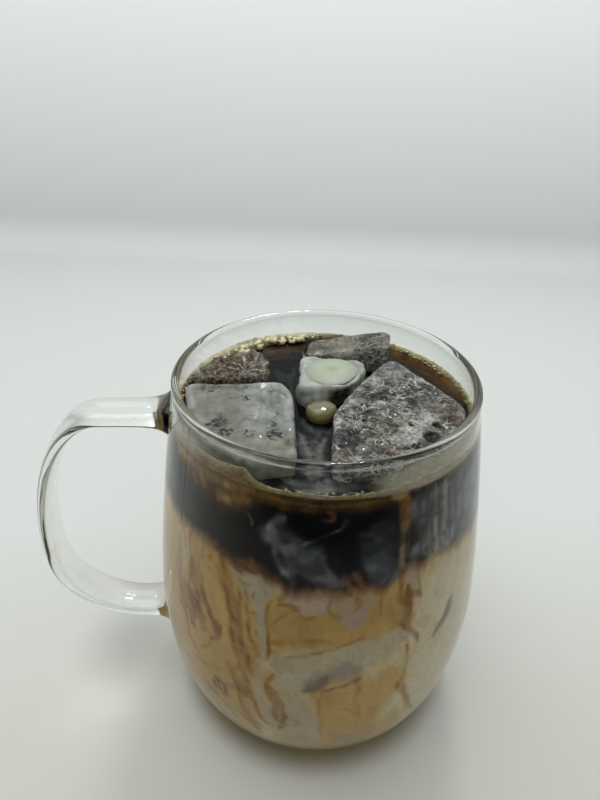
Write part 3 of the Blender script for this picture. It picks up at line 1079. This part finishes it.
def drink_top():
    radius = float(inner_radius(DRINK_LEVEL + 0.4)) + 0.03
    inside, outside = TOP_RINGS
    shares = np.concatenate([np.linspace(0.02, 0.93, inside), np.linspace(0.935, 1.0, outside)])
    angles = even_angles(TOP_SIDES)
    r = shares[:, None] * radius
    x, y = r * np.cos(angles), r * np.sin(angles)
    points = np.stack([x, y, top_relief(x, y)], 2).reshape(-1, 3)
    under = points[-TOP_SIDES:] * (0.985, 0.985, 1) - (0, 0, 3.0)
    points = np.vstack([points, under])
    faces = [face[::-1] for face in grid_faces(len(shares) + 1, TOP_SIDES)] + [list(range(TOP_SIDES))]
    material = painted("black_coffee_top", (0.05, 0.12), specular=0.12, ior=1.34, relief=(160.0, 0.12))
    dress(mesh_piece("coffee_top", points, faces, material, linear(top_colours(points), TOP_GAIN)),
          "black_coffee", "coffee_layer")


# The ice

def rounded_outline(corners, corner_radius, spacing):
    """A polygon with rounded corners, as evenly spaced points that run anticlockwise."""
    corners = np.array(corners, float)
    ahead = np.roll(corners, -1, 0)
    if (corners[:, 0] * ahead[:, 1] - corners[:, 1] * ahead[:, 0]).sum() < 0:
        corners = corners[::-1]
    points = []
    for before, here, after in zip(np.roll(corners, 1, 0), corners, np.roll(corners, -1, 0)):
        a = (before - here) / np.linalg.norm(before - here) * corner_radius
        b = (after - here) / np.linalg.norm(after - here) * corner_radius
        for t in np.linspace(0, 1, 9):
            points.append(here + a * (1 - t) ** 2 + b * t ** 2)
    points.append(points[0])
    points = np.array(points)
    run = np.concatenate([[0], np.cumsum(np.linalg.norm(np.diff(points, axis=0), axis=1))])
    even = np.linspace(0, run[-1], int(run[-1] / spacing))[:-1]
    return np.stack([np.interp(even, run, points[:, k]) for k in (0, 1)], 1)


def from_pool(x, y):
    """How far a place is from the pool's middle, 1 being the pool's edge."""
    return np.hypot((x - POOL_CENTRE[0]) / POOL_RADII[0], (y - POOL_CENTRE[1]) / POOL_RADII[1])


def pool_dent(x, y):
    return DENT_DEPTH * np.maximum(0, 1 - (from_pool(x, y) / DENT_SPREAD) ** 2)


def ice_points(shape, dent, spacing):
    """Rings of a melted block: up its side, round its edge and in over its top."""
    outline = rounded_outline(shape["corners"], shape["corner"], spacing)
    middle = np.mean(shape["corners"], axis=0)
    slope = np.array(shape["slope"])
    top, bottom = shape["top"], shape["top"] - shape["depth"]
    side_top, seen = top - ICE_EDGE, DRINK_LEVEL - 1.5
    reach = np.linalg.norm(outline - middle, axis=1)
    size = reach.mean()
    rings = []

    def ring(share, height, sloping=1):
        flat = middle + (outline - middle) * share
        rings.append(np.column_stack([flat, height + sloping * (slope @ (flat - middle).T)]))

    for z in np.concatenate([np.linspace(bottom, seen, 6)[:-1], np.arange(seen, side_top, spacing)]):
        ring(0.98 if z > seen - 0.1 else 0.86 + 0.12 * (z - bottom) / (seen - bottom), z, 0)
    for turn in np.linspace(0, pi / 2, 7):
        ring(0.985 - ICE_EDGE * (1 - cos(turn)) / size, side_top + ICE_EDGE * sin(turn))
    for share in np.linspace(0.985 - ICE_EDGE / size, 0.02, int(size / spacing))[1:]:
        ring(share, top)
    rings = np.array(rings)
    if dent:
        inside = np.linalg.norm(rings[..., :2] - middle, axis=2) < reach * 0.95
        sunk = pool_dent(rings[..., 0], rings[..., 1])
        rings[..., 2] -= np.where(inside & (rings[..., 2] > side_top), sunk, 0)
    return rings


def surface_normals(rings):
    """Normals of a grid of rings that are closed round."""
    along = np.gradient(rings, axis=0)
    around = np.roll(rings, -1, axis=1) - np.roll(rings, 1, axis=1)
    normal = np.cross(around, along)
    return normal / np.maximum(np.linalg.norm(normal, axis=2), 1e-9)[..., None]


def edge_share(rings):
    """1 where the block's side turns into its top, and 0 a little way in from there."""
    middle = rings[-1].mean(axis=0)[:2]
    out = np.linalg.norm(rings[..., :2] - middle, axis=2)
    inset = np.linalg.norm(rings[0, :, :2] - middle, axis=1) * 1.13 - out
    return smooth(3.2, 1.2, inset)


def ice_piece(name, relief, look, material, dent=False, spacing=0.42, melting=1.0):
    """One block: its relief moves the points along their normals, and its look colours them."""
    shape = ICE[name]
    rings = ice_points(shape, dent, spacing)
    points = rings.reshape(-1, 3)
    shown = smooth(DRINK_LEVEL - 2, DRINK_LEVEL, points[:, 2])
    melt = melting * (0.5 * fractal(points, 9.0, 71) + 0.18 * fractal(points, 2.6, 73))
    points = points + surface_normals(rings).reshape(-1, 3) * ((melt + relief(points)) * shown)[:, None]
    colours, numbers = look(points)
    bend = smooth(shape["top"] - 3.2, shape["top"] - 0.8, rings[..., 2]) * edge_share(rings)
    bend = bend.ravel() * smooth(-0.5, 0.1, fractal(points, 3.0, 75))
    colours = blend(colours, MELTED_EDGE, MELTED_SHARE * bend)
    numbers = {key: np.clip(numbers.get(key, 0.0) + np.zeros(len(points)), 0, 1.3)
               for key in ("clear", "web", "pits")}
    dress(mesh_piece("fine_" + name, points, closed_faces(*rings.shape[:2]), material,
                     linear(colours, ICE_GAIN), numbers), "ice", name)


def spot(points, x, y, size, soft=0.6):
    """1 round a place seen from above and 0 away from it."""
    return smooth(size * (1 + soft), size * (1 - soft), np.hypot(points[:, 0] - x, points[:, 1] - y))


def all_spots(points, places, soft=0.6):
    """The strongest of many spots, each (x, y, size, strength)."""
    return np.max([strength * spot(points, x, y, size, soft) for x, y, size, strength in places], axis=0)


def front_left_look(points):
    """Pale, smooth and milky, with fine lines and dark clusters of pits."""
    x, y, z = points.T
    arcs = np.abs(np.sin(np.hypot(x + 20, (y + 27) * 0.8) * 2.3 + 2.6 * fractal(points, 4.0, 113)))
    lines = smooth(0.3, 0.02, arcs) * all_spots(points, FRONT_LEFT_LINES)
    streaks = smooth(0.16, 0.0, np.abs(fractal(points * (1, 0.4, 1), 2.6, 107)))
    frost = fractal(points, 1.3, 115)
    crystals = smooth(-29.5, -35.5, x + 2 * fractal(points, 5.0, 117))
    colours = layered(
        points, (148, 150, 145),
        ((170, 173, 170), 0.8 * smooth(-0.1, 0.7, fractal(points * (1, 0.6, 1), 6.0, 101))),
        ((126, 123, 106), 0.8 * smooth(-17, -29, y + 4 * fractal(points, 8.0, 103))),
        ((84, 83, 74), 0.7 * lines),
        ((104, 104, 96), 0.5 * streaks),
        ((206, 205, 204), crystals * smooth(0.05, 0.45, frost)),
        ((92, 86, 88), 0.9 * crystals * smooth(-0.02, -0.35, frost)),
        ((112, 111, 97), 0.6 * smooth(-17, -25, x + 3 * fractal(points, 6.0, 109))),
        ((170, 172, 167), 0.8 * smooth(-12.0, -9.6, x) * smooth(-25, -18, y)),
        ((128, 127, 118), 0.6 * smooth(106.2, 103.4, z)),
        ((88, 66, 44), 0.9 * spot(points, -9.4, -25.4, 1.7, 0.4)))
    clear = 0.14 + 0.3 * smooth(0.0, 0.6, fractal(points, 5.0, 111)) - 0.14 * crystals
    return colours, {"clear": clear, "pits": all_spots(points, FRONT_LEFT_PITS), "web": 0.1}


def front_left_relief(points):
    pits = all_spots(points, FRONT_LEFT_PITS) * smooth(0.0, 0.5, fractal(points, 1.4, 105))
    return 0.3 * fractal(points * (1, 0.6, 1), 4.2, 113) - 0.4 * pits


def back_left_look(points):
    """Clear and brownish, all knobs and facets, with bright rays on its right."""
    x, y, _ = points.T
    near, second = cells(points, 2.2, 121)
    facet = smooth(0.0, 0.3, second - near)
    turn = np.arctan2(y - 6.0, x + 21.0)
    rays = smooth(0.35, 0.85, np.cos(turn * 11 + 1.6 * fractal(points, 3.0, 129)))
    rays *= spot(points, *RAYS_PLACE, 0.5)
    colours = layered(
        points, (126, 108, 82),
        ((152, 140, 118), 0.6 * (1 - facet)),
        ((56, 44, 30), 0.7 * smooth(0.3, 0.7, near) * facet),
        ((150, 132, 104), 0.6 * smooth(0.1, 0.7, fractal(points, 4.0, 123))),
        ((196, 188, 170), 0.85 * rays),
        ((84, 72, 54), 0.6 * (1 - rays) * spot(points, *RAYS_PLACE, 0.4)),
        ((150, 140, 112), 0.8 * smooth(-16.5, -14.5, x)))
    return colours, {"clear": 0.1 + 0.25 * facet - 0.3 * rays, "pits": 0.35}


def back_left_relief(points):
    return 2.0 * (0.5 - cells(points, 3.4, 125)[0]) + 0.6 * (0.5 - cells(points, 1.5, 127)[0])


def back_look(points):
    """Clear and brownish, with a pale net on its near side and a pale crust at its right end."""
    x, y, _ = points.T
    mottle = fractal(points, 1.9, 133)
    colours = layered(
        points, (132, 127, 107),
        ((158, 155, 140), 0.8 * smooth(0.1, 0.5, mottle) * smooth(2, 10, x)),
        ((46, 40, 28), 0.8 * smooth(0.0, -0.45, mottle)),
        ((70, 62, 46), 0.6 * smooth(7, 0, x)),
        ((168, 168, 158), 0.85 * smooth(16.2, 19.6, x) * smooth(-0.5, 0.3, fractal(points, 2.0, 137))))
    front = smooth(21.5, 18.0, y + 0.18 * x)
    return colours, {"clear": 0.35, "web": 0.25 + 0.75 * front, "pits": 0.35 * smooth(6, 12, x)}


def back_relief(points):
    return 0.35 * fractal(points, 3.0, 139)


def right_look(points):
    """Dark grey clear ice under a white net, with black holes, milky smears and brown hollows."""
    clear_part = spot(points, 3.4, -24.6, 4.0, 0.35)
    smear = all_spots(points, RIGHT_WHITE) * smooth(-0.75, -0.05, fractal(points, 1.8, 157))
    holes = all_spots(points, RIGHT_HOLES, 0.25)
    brown, dark = all_spots(points, RIGHT_BROWN), all_spots(points, RIGHT_DARK)
    colours = layered(
        points, (114, 111, 97),
        ((54, 52, 46), 0.75 * smooth(0.05, -0.4, fractal(points, 2.1, 151))),
        ((122, 121, 112), 0.7 * smooth(-0.1, 0.7, fractal(points, 5.0, 153))),
        ((146, 148, 151), 0.85 * spot(points, 19.4, 7.2, 5.6, 0.5)),
        ((150, 138, 116), 0.8 * all_spots(points, RIGHT_BEIGE)),
        ((74, 75, 72), 0.9 * clear_part),
        ((36, 34, 28), dark),
        ((92, 58, 26), brown * smooth(-0.7, -0.1, fractal(points, 1.6, 155))),
        ((184, 184, 177), smear),
        ((10, 9, 8), holes))
    web = 1.15 - 0.95 * clear_part - 1.1 * holes - 0.6 * brown
    web -= 0.3 * dark + 0.3 * spot(points, 19.4, 7.2, 6.0, 0.4)
    web *= 0.7 + 0.5 * smooth(-0.35, 0.25, fractal(points, 6.5, 158))
    return colours, {"clear": 0.5 - 0.5 * smear - 0.5 * holes, "web": web, "pits": 0.25 + 0.2 * clear_part}


def right_relief(points):
    return (0.3 * fractal(points, 2.4, 159) - 0.9 * all_spots(points, RIGHT_HOLES, 0.5)
            - 0.5 * all_spots(points, RIGHT_DARK))


def centre_look(points):
    """Clear ice under a skirt of milk round the pool, which runs off over its left and its front."""
    x, y, z = points.T
    bent = from_pool(x, y) + 0.12 * fractal(points, 3.0, 161)
    left = smooth(2.0, -3.0, x)
    skirt = np.maximum(smooth(1.75, 1.0, bent), left * smooth(2.4, 1.6, bent))
    slit = spot(points, 4.2, -0.6, 3.2, 0.5) * smooth(108.2, 106.8, z)
    colours = layered(
        points, (130, 128, 112),
        ((168, 170, 162), 0.95 * skirt),
        ((184, 189, 170), smooth(1.2, 0.98, bent)),
        ((60, 58, 40), 0.8 * slit),
        ((92, 90, 78), 0.7 * smooth(104.4, 103.0, z) * (1 - left)))
    return colours, {"clear": 0.35 - 0.35 * skirt, "pits": 0.5 * slit,
                     "web": 0.9 * smooth(7.5, 10.0, x) + 0.5 * smooth(14.5, 16.0, y)}


def centre_relief(points):
    away = from_pool(points[:, 0], points[:, 1])
    return 0.9 * fractal(points, 3.2, 163) * smooth(1.02, 1.2, away)


def all_ice():
    material = ice_material()
    ice_piece("ice_front_left", front_left_relief, front_left_look, material, spacing=0.34, melting=0.3)
    ice_piece("ice_back_left", back_left_relief, back_left_look, material, spacing=0.34)
    ice_piece("ice_back", back_relief, back_look, material)
    ice_piece("ice_right", right_relief, right_look, material, spacing=0.3)
    ice_piece("ice_centre", centre_relief, centre_look, material, dent=True)


# Milk and cream

def dome_rings(centre, radii, base, rise, dimple=0.0, flatness=1.0):
    """A low round dome, flatter on top as its flatness falls, with an optional dimple."""
    angles = even_angles(DOME_SIDES)
    wobble = 1 + 0.04 * np.sin(2 * angles + 0.6) + 0.03 * np.sin(3 * angles)
    rings = []
    for turn in np.linspace(0.0, pi / 2 - 0.03, DOME_ROWS):
        size, height = cos(turn), sin(turn)
        z = base + rise * height ** flatness - dimple * exp(-(size / 0.28) ** 2)
        rings.append(np.stack([centre[0] + radii[0] * size * wobble * np.cos(angles),
                               centre[1] + radii[1] * size * wobble * np.sin(angles), 0 * angles + z], 1))
    return np.array(rings)


def dome_piece(name, rings, colours, material, slot, *nodes):
    points = rings.reshape(-1, 3)
    faces = closed_faces(*rings.shape[:2])
    dress(mesh_piece(name, points, faces, material, linear(colours(points), MILK_GAIN)), slot, *nodes)


def pool_colours(points):
    away = from_pool(points[:, 0], points[:, 1])
    return layered(points, (182, 190, 166), ((172, 178, 162), smooth(0.5, 1.0, away)),
                   ((166, 173, 142), 0.9 * smooth(0.32, 0.08, away)))


def skirt_colours(points):
    """Milk that has run down from the pool, thin and grey towards the coffee."""
    return layered(points, (150, 152, 143), ((120, 121, 112), smooth(106.2, 103.4, points[:, 2])),
                   ((104, 103, 92), 0.6 * smooth(0.0, 0.6, fractal(points, 2.4, 165))))


def drop_colours(points):
    away = np.hypot(points[:, 0] - DROP_CENTRE[0], points[:, 1] - DROP_CENTRE[1])
    return layered(
        points, (126, 119, 80),
        ((114, 106, 68), smooth(3.0, 0.5, away)),
        ((158, 152, 124), 0.7 * smooth(3.0, 3.9, away) * smooth(-8.0, -4.0, points[:, 1])),
        ((104, 93, 58), smooth(104.6, 103.4, points[:, 2])))


def milk_and_cream():
    base = ICE["ice_centre"]["top"] - POOL_SINK
    milk = painted("thick_milk", (0.35, 0.5), specular=0.4, grain=(500.0, 0.97, 1.03))
    pool_radii = tuple(radius * 1.06 for radius in POOL_RADII)
    pool = dome_rings(POOL_CENTRE, pool_radii, base - 0.2, POOL_RISE + 0.2, 0.45)
    dome_piece("fine_milk_pool", pool, pool_colours, milk, "thick_milk", "milk_pool")
    skirt = dome_rings((-4.4, 3.2), (3.4, 6.2), DRINK_LEVEL - 0.3, 4.4, 0.0, 0.9)
    dome_piece("milk_skirt", skirt, skirt_colours, milk, "thick_milk")
    cream = painted("beige_cream", (0.08, 0.16), specular=0.7, coat=0.5, grain=(500.0, 0.94, 1.06),
                    relief=(260.0, 0.25))
    drop_radii = tuple(radius * 1.04 for radius in DROP_RADII)
    drop = dome_rings(DROP_CENTRE, drop_radii, DRINK_LEVEL + 0.1, DROP_HEIGHT - 0.9, 0.0, 0.55)
    dome_piece("fine_cream_drop", drop, drop_colours, cream, "cream", "cream_drop")
    lobe = dome_rings((2.1, -5.4), (2.4, 1.7), DRINK_LEVEL - 0.2, 1.0, 0.0, 0.7)
    dome_piece("cream_lobe", lobe, drop_colours, cream, "cream")


# Froth, film and drops

def froth_colours(points, below):
    degrees, reach = rounds_of(points)
    height = points[:, 2]
    away = inner_radius(height) - reach
    back = smooth(78, 96, degrees) * smooth(176, 150, degrees)
    right = smooth(-14, 2, degrees) * smooth(70, 54, degrees)
    bank = smooth(-172, -160, degrees) * smooth(-111, -119, degrees)
    front = smooth(-114, -106, degrees) * smooth(-62, -72, degrees)
    mottle = smooth(-0.3, 0.4, fractal(points, 2.2, 183))
    return layered(
        points, (132, 118, 82),
        ((176, 165, 128), 0.7 * smooth(0.5, 0.12, cells(points, 1.0, 181)[0])),
        ((78, 54, 24), 0.75 * smooth(103.9, 102.9, height)),
        ((202, 196, 170), 0.8 * back * smooth(2.6, 0.6, away)),
        ((110, 90, 48), 0.8 * back * smooth(2.2, 3.8, away)),
        ((150, 138, 84), 0.7 * right * smooth(1.2, 0.3, away)),
        ((100, 64, 22), 0.8 * right * smooth(0.8, 1.8, away)),
        ((118, 98, 56), 0.9 * bank),
        ((146, 137, 104), bank * smooth(1.6, 0.3, below + 0.8 * fractal(points, 2.6, 185))),
        ((84, 58, 24), 0.85 * bank * mottle * smooth(0.8, 2.4, below)),
        ((58, 40, 18), 0.8 * front * smooth(0.5, 1.4, below)))


def froth_ring():
    """The froth bank along the glass, reaching just into its wall."""
    degrees = -180 + 360 * np.arange(FROTH_SIDES) / FROTH_SIDES
    table = np.array(FROTH_EDGE, float)
    top, width = (np.interp(degrees, table[:, 0], table[:, k]) for k in (1, 2))
    around = np.stack([np.cos(np.radians(degrees)), np.sin(np.radians(degrees)), 0 * degrees], 1)
    top = top + 0.35 * fractal(around * 40, 2.4, 191)
    width = width * (1 + 0.35 * fractal(around * 38, 3.0, 193))
    base = DRINK_LEVEL - 0.8
    rings = []
    for share in np.linspace(0, 1, 9):
        z = base + (top - base) * share
        rings.append((inner_radius(z) + INTO_WALL * (0.6 if share < 0.25 else 1.0), z))
    for share, drop in FROTH_SLOPE:
        # above the low froth only a film climbs the glass
        z = top + (base + 0.15 - top) * drop
        film = np.minimum(width * share, 0.5 + 1.1 * np.maximum(0.0, 104.9 - z) * width)
        rings.append((inner_radius(z) + INTO_WALL - film, z))
    below = np.concatenate([top - z for _, z in rings])
    rows = []
    for r, z in rings:
        row = np.stack([r * around[:, 0], r * around[:, 1], z], 1)
        row[:, 2] += 0.45 * smooth(0.55, 0.1, cells(row, 1.3, 197)[0]) * (r < inner_radius(z) - 0.05)
        rows.append(row)
    points = np.concatenate(rows)
    last = (len(rows) - 1) * FROTH_SIDES
    faces = grid_faces(len(rows), FROTH_SIDES)
    for j in range(FROTH_SIDES):
        k = (j + 1) % FROTH_SIDES
        faces.append([last + j, last + k, k, j])
    material = painted("coffee_froth", (0.12, 0.4), specular=0.5, coat=0.5, grain=(1400.0, 0.8, 1.2),
                       relief=(1500.0, 0.15))
    dress(mesh_piece("froth", points, faces, material, linear(froth_colours(points, below), FROTH_GAIN)),
          "froth", "foam_ring")


def milk_film():
    """Thin films of milk that cling to the glass over the coffee, at the left and the right."""
    degrees = np.linspace(*FILM_DEGREES, FILM_COLUMNS)
    heights = np.linspace(*FILM_HEIGHTS, FILM_ROWS)
    sides = []
    for inset in (-INTO_WALL, FILM_THICKNESS):
        profile = np.column_stack([inner_radius(heights, inset), heights])
        sides.append(turned_points(profile, np.radians(degrees)).reshape(-1, 3))
    wall = sides[0]
    angle, z = (grid.ravel() for grid in np.meshgrid(degrees, heights))
    height = z + 0.9 * fractal(wall, 5.0, 205)
    right = smooth(-84, -66, angle) * smooth(-16, -30, angle)
    right *= smooth(110.4, 107.6, height - 0.03 * (angle + 60))
    left = smooth(-134, -150, angle) * smooth(109.6, 106.0, height)
    middle = 0.3 * smooth(-0.1, 0.6, fractal(wall, 4.0, 201)) * smooth(108.0, 105.0, height)
    cover = np.maximum(np.maximum(right, left), middle)
    cover = cover * (0.72 + 0.28 * smooth(-0.3, 0.4, fractal(wall, 1.8, 203)))
    colours = layered(wall, (146, 142, 126), ((150, 146, 124), left),
                      ((112, 113, 104), smooth(-128, -110, angle) * smooth(-74, -90, angle)))
    count = len(wall)
    faces = grid_faces(FILM_ROWS, FILM_COLUMNS, wrap=False)
    faces += [[count + k for k in face[::-1]] for face in faces]
    grid = np.arange(count).reshape(FILM_ROWS, FILM_COLUMNS)
    border = [*grid[0], *grid[1:, -1], *grid[-1, -2::-1], *grid[-2:0:-1, 0]]
    faces += [[b, a, count + a, count + b] for a, b in zip(border, border[1:] + border[:1])]
    made = painted("milk_film", (0.3, 0.5), specular=0.3, grain=(700.0, 0.95, 1.05))
    tree = made.node_tree
    fit(tree, tree.nodes["Principled BSDF"], Alpha=attribute(tree, "cover")["Fac"])
    paint = linear(np.tile(colours, (2, 1)), WALL_GAIN * 0.7)
    numbers = {"cover": np.tile(cover * FILM_ALPHA, 2)}
    dress(mesh_piece("milk_film", np.concatenate(sides), faces, made, paint, numbers), "froth")


def unit_ball():
    """Points and faces of a ball with its underside left off."""
    turns = np.linspace(-0.45, pi / 2, BALL_ROWS)
    rings = turned_points([(cos(turn), sin(turn)) for turn in turns[:-1]], even_angles(BALL_SIDES))
    points = np.vstack([rings.reshape(-1, 3), [[0.0, 0.0, 1.0]]])
    faces = grid_faces(BALL_ROWS - 1, BALL_SIDES)
    last, tip = (BALL_ROWS - 2) * BALL_SIDES, len(points) - 1
    faces += [[last + j, last + (j + 1) % BALL_SIDES, tip] for j in range(BALL_SIDES)]
    return points, faces


def scattered(name, places, colours, material, slot):
    """Many small beads as one mesh: places are rows of (x, y, z, radius, squash)."""
    ball, ball_faces = unit_ball()
    shade = 0.72 + 0.28 * smooth(-0.2, 0.9, ball[:, 2])[:, None]
    points, faces, paint = [], [], []
    for i, (x, y, z, radius, squash) in enumerate(places):
        points.append(ball * (radius, radius, radius * squash) + (x, y, z))
        faces += [[k + i * len(ball) for k in face] for face in ball_faces]
        paint.append(np.array(colours[i], float) * shade)
    paint = linear(np.concatenate(paint), FROTH_GAIN)
    dress(mesh_piece(name, np.concatenate(points), faces, material, paint), slot)


def bubbles():
    draw = np.random.default_rng(7)
    places, colours = [], []
    for first, last, width, count, least, most in BUBBLE_STRETCHES:
        for _ in range(count):
            degrees = draw.uniform(first, last)
            angle = radians(degrees)
            radius = least + (most - least) * draw.random() ** 2.2
            r = inner_radius(104.2) - radius * 0.9 - draw.random() ** 1.5 * width
            z = 103.6 + 0.7 * draw.random()
            places.append((r * cos(angle), r * sin(angle), z, radius, draw.uniform(0.7, 0.95)))
            bright = 1.25 if 90 < degrees < 152 else 0.95
            shade = np.array(BUBBLE) * bright * draw.uniform(0.8, 1.1)
            colours.append(shade - (0, 4 * draw.random(), 14 * draw.random()))
    material = painted("froth_bubbles", (0.05, 0.12), specular=0.6, coat=0.8, grain=(900.0, 0.95, 1.05))
    scattered("froth_bubbles", places, colours, material, "froth")


def melt_drops():
    places = []
    for x, y, radius in MELT_DROPS:
        shape = ICE["ice_front_left" if x < -8 else "ice_right"]
        middle = np.mean(shape["corners"], axis=0)
        z = shape["top"] + np.array(shape["slope"]) @ (np.array((x, y)) - middle)
        places.append((x, y, z, 2.0 * radius, 0.38))
    scattered("melt_drops", places, [MELTWATER] * len(places), meltwater_material(), "ice")


# Stage, light and camera

def dim_in_gloss(tree, split, first, last, lit=1.0):
    """A factor that falls towards -Y where a glossy surface mirrors the dark room there."""
    path = add(tree, "LightPath").outputs
    fade = span(tree, split.outputs["Y"], first, last, DARK_ROOM, 1.0)
    mirrored = maths(tree, "LESS_THAN", path["Diffuse Depth"], 0.5)
    mirrored = maths(tree, "MULTIPLY", path["Is Glossy Ray"], mirrored)
    return add(tree, "Mix", data_type="FLOAT", Factor=mirrored, A=lit, B=fade).outputs[0]


def board_material():
    made, tree, shader = new_material("studio_board")
    place = object_place(tree)
    split = add(tree, "SeparateXYZ", place)
    ramp = add(tree, "ValToRGB", span(tree, split.outputs["Y"], -0.12, 0.4))
    stops = ramp.color_ramp.elements
    stops.new(0.35)
    for stop, tint in zip(stops, (BOARD_NEAR, BOARD_MIDDLE, BOARD_FAR)):
        stop.color = (*tint, 1.0)
    # the backdrop grows lighter with height
    climb = span(tree, split.outputs["Z"], 0.02, 0.2, BACKDROP_LOW, BACKDROP_HIGH)
    board = scaled(tree, ramp.outputs["Color"], climb)
    # the foot of the mug keeps the light off the board, and tints what gets there
    flat = add(tree, "VectorMath", place, (1.0, 1.0, 0.0), operation="MULTIPLY").outputs[0]
    reach = add(tree, "VectorMath", flat, operation="LENGTH").outputs["Value"]
    near = span(tree, reach, 0.038, 0.048, 1.0, 0.0, interpolation_type="SMOOTHSTEP")
    contact = blended(tree, near, (1.0, 1.0, 1.0, 1.0), CONTACT)
    board = add(tree, "VectorMath", board, contact, operation="MULTIPLY").outputs[0]
    # and so does the handle, softly
    under = add(tree, "VectorMath", place, HANDLE_SHADE_PLACE, operation="DISTANCE").outputs["Value"]
    shaded = span(tree, under, 0.002, 0.026, HANDLE_SHADE, 1.0, interpolation_type="SMOOTHSTEP")
    dim = maths(tree, "MULTIPLY", dim_in_gloss(tree, split, -0.22, 0.0), shaded)
    fit(tree, shader, Base_Color=scaled(tree, board, dim), Roughness=noise_factor(tree, 20.0, 0.7, 0.85),
        Specular_IOR_Level=0.1)
    return made


def stage():
    """A pale floor that curves up into a backdrop behind the mug."""
    back, bend, half, top = BOARD_SIZES
    profile = [(-half, 0.0), (-300.0, 0.0), (0.0, 0.0), (back - bend, 0.0)]
    for turn in np.linspace(0, pi / 2, 10)[1:]:
        profile.append((back - bend + bend * sin(turn), bend - bend * cos(turn)))
    profile += [(back, height) for height in np.linspace(bend, top, 8)[1:]]
    turn = radians(-MUG_TURN)
    points = [(x * cos(turn) - y * sin(turn), x * sin(turn) + y * cos(turn), z)
              for y, z in profile for x in (-half, half)]
    faces = [[2 * i, 2 * i + 1, 2 * i + 3, 2 * i + 2] for i in range(len(profile) - 1)]
    mesh_piece("studio_board", points, faces, board_material())


def area_lamp(name, size, power, place, aim, tint=(1.0, 1.0, 1.0)):
    lamp = bpy.data.lights.new(name, "AREA")
    lamp.shape = "RECTANGLE"
    lamp.size, lamp.size_y = size
    lamp.energy, lamp.color = power, tint
    box = bpy.data.objects.new(name, lamp)
    box.location = place
    box.rotation_euler = Vector(aim).to_track_quat("-Z", "Y").to_euler()
    bpy.context.scene.collection.objects.link(box)


def lights():
    area_lamp("soft_box", (0.9, 0.7), LAMP_POWER, (-0.15, 0.20, 0.95), (0.15, -0.18, -0.9), LAMP_COLOUR)
    area_lamp("ceiling_lamp", (0.10, 0.05), GLINT_POWER, (0.09, 0.32, 0.62), (-0.09, -0.32, -0.51))
    world = bpy.data.worlds.new("room")
    world.use_nodes = True
    tree = world.node_tree
    split = add(tree, "SeparateXYZ", add(tree, "TexCoord").outputs["Generated"])
    from_front = span(tree, split.outputs["Y"], -0.8, 0.3, FRONT_LIGHT, 1.0)
    strength = maths(tree, "MULTIPLY", dim_in_gloss(tree, split, -0.6, 0.35, from_front), ROOM_LIGHT)
    fit(tree, tree.nodes["Background"], Color=(*ROOM_COLOUR, 1.0), Strength=strength)
    bpy.context.scene.world = world


def camera():
    """The photo's camera, from the fitted ellipse: it pans and tilts off the rim's centre, and rolls."""
    width, height = FRAME_SIZE
    elevation, roll = radians(CAMERA_ELEVATION), radians(CAMERA_ROLL)
    back = Matrix.Rotation(radians(-MUG_TURN), 3, "Z")
    right = back @ Vector((1, 0, 0))
    ahead = back @ Vector((0, cos(elevation), -sin(elevation)))
    up = back @ Vector((0, sin(elevation), cos(elevation)))
    pan = atan((RIM_CENTRE_PIXEL[0] - width / 2) / FOCAL_PIXELS)
    tilt = atan((height / 2 - RIM_CENTRE_PIXEL[1]) / FOCAL_PIXELS * cos(pan))
    side = right * cos(pan) + ahead * sin(pan)
    level = ahead * cos(pan) - right * sin(pan)
    raised = up * cos(tilt) + level * sin(tilt)
    view = level * cos(tilt) - up * sin(tilt)
    across = side * cos(roll) + raised * sin(roll)
    upward = raised * cos(roll) - side * sin(roll)
    lens = bpy.data.cameras.new("camera")
    lens.sensor_width = FILM_WIDTH
    lens.lens = FILM_WIDTH * FOCAL_PIXELS / height
    lens.clip_start, lens.clip_end = CLIP_RANGE
    made = bpy.data.objects.new("camera", lens)
    made_at = Matrix((across, upward, -view)).transposed().to_4x4()
    made_at.translation = (Vector((0, 0, RIM_CENTRE_HEIGHT)) - ahead * CAMERA_DISTANCE) * MM
    made.matrix_world = made_at
    bpy.context.scene.collection.objects.link(made)
    bpy.context.scene.camera = made


def picture():
    scene = bpy.context.scene
    scene.view_settings.view_transform = "Standard"
    scene.cycles.use_denoising = True
    scene.cycles.max_bounces = 16
    scene.cycles.transmission_bounces = 14
    scene.cycles.transparent_max_bounces = 16


fine_glass()
drink_wall()
drink_top()
all_ice()
milk_and_cream()
froth_ring()
milk_film()
bubbles()
melt_drops()
stage()
lights()
camera()
picture()

bpy.context.view_layer.update()
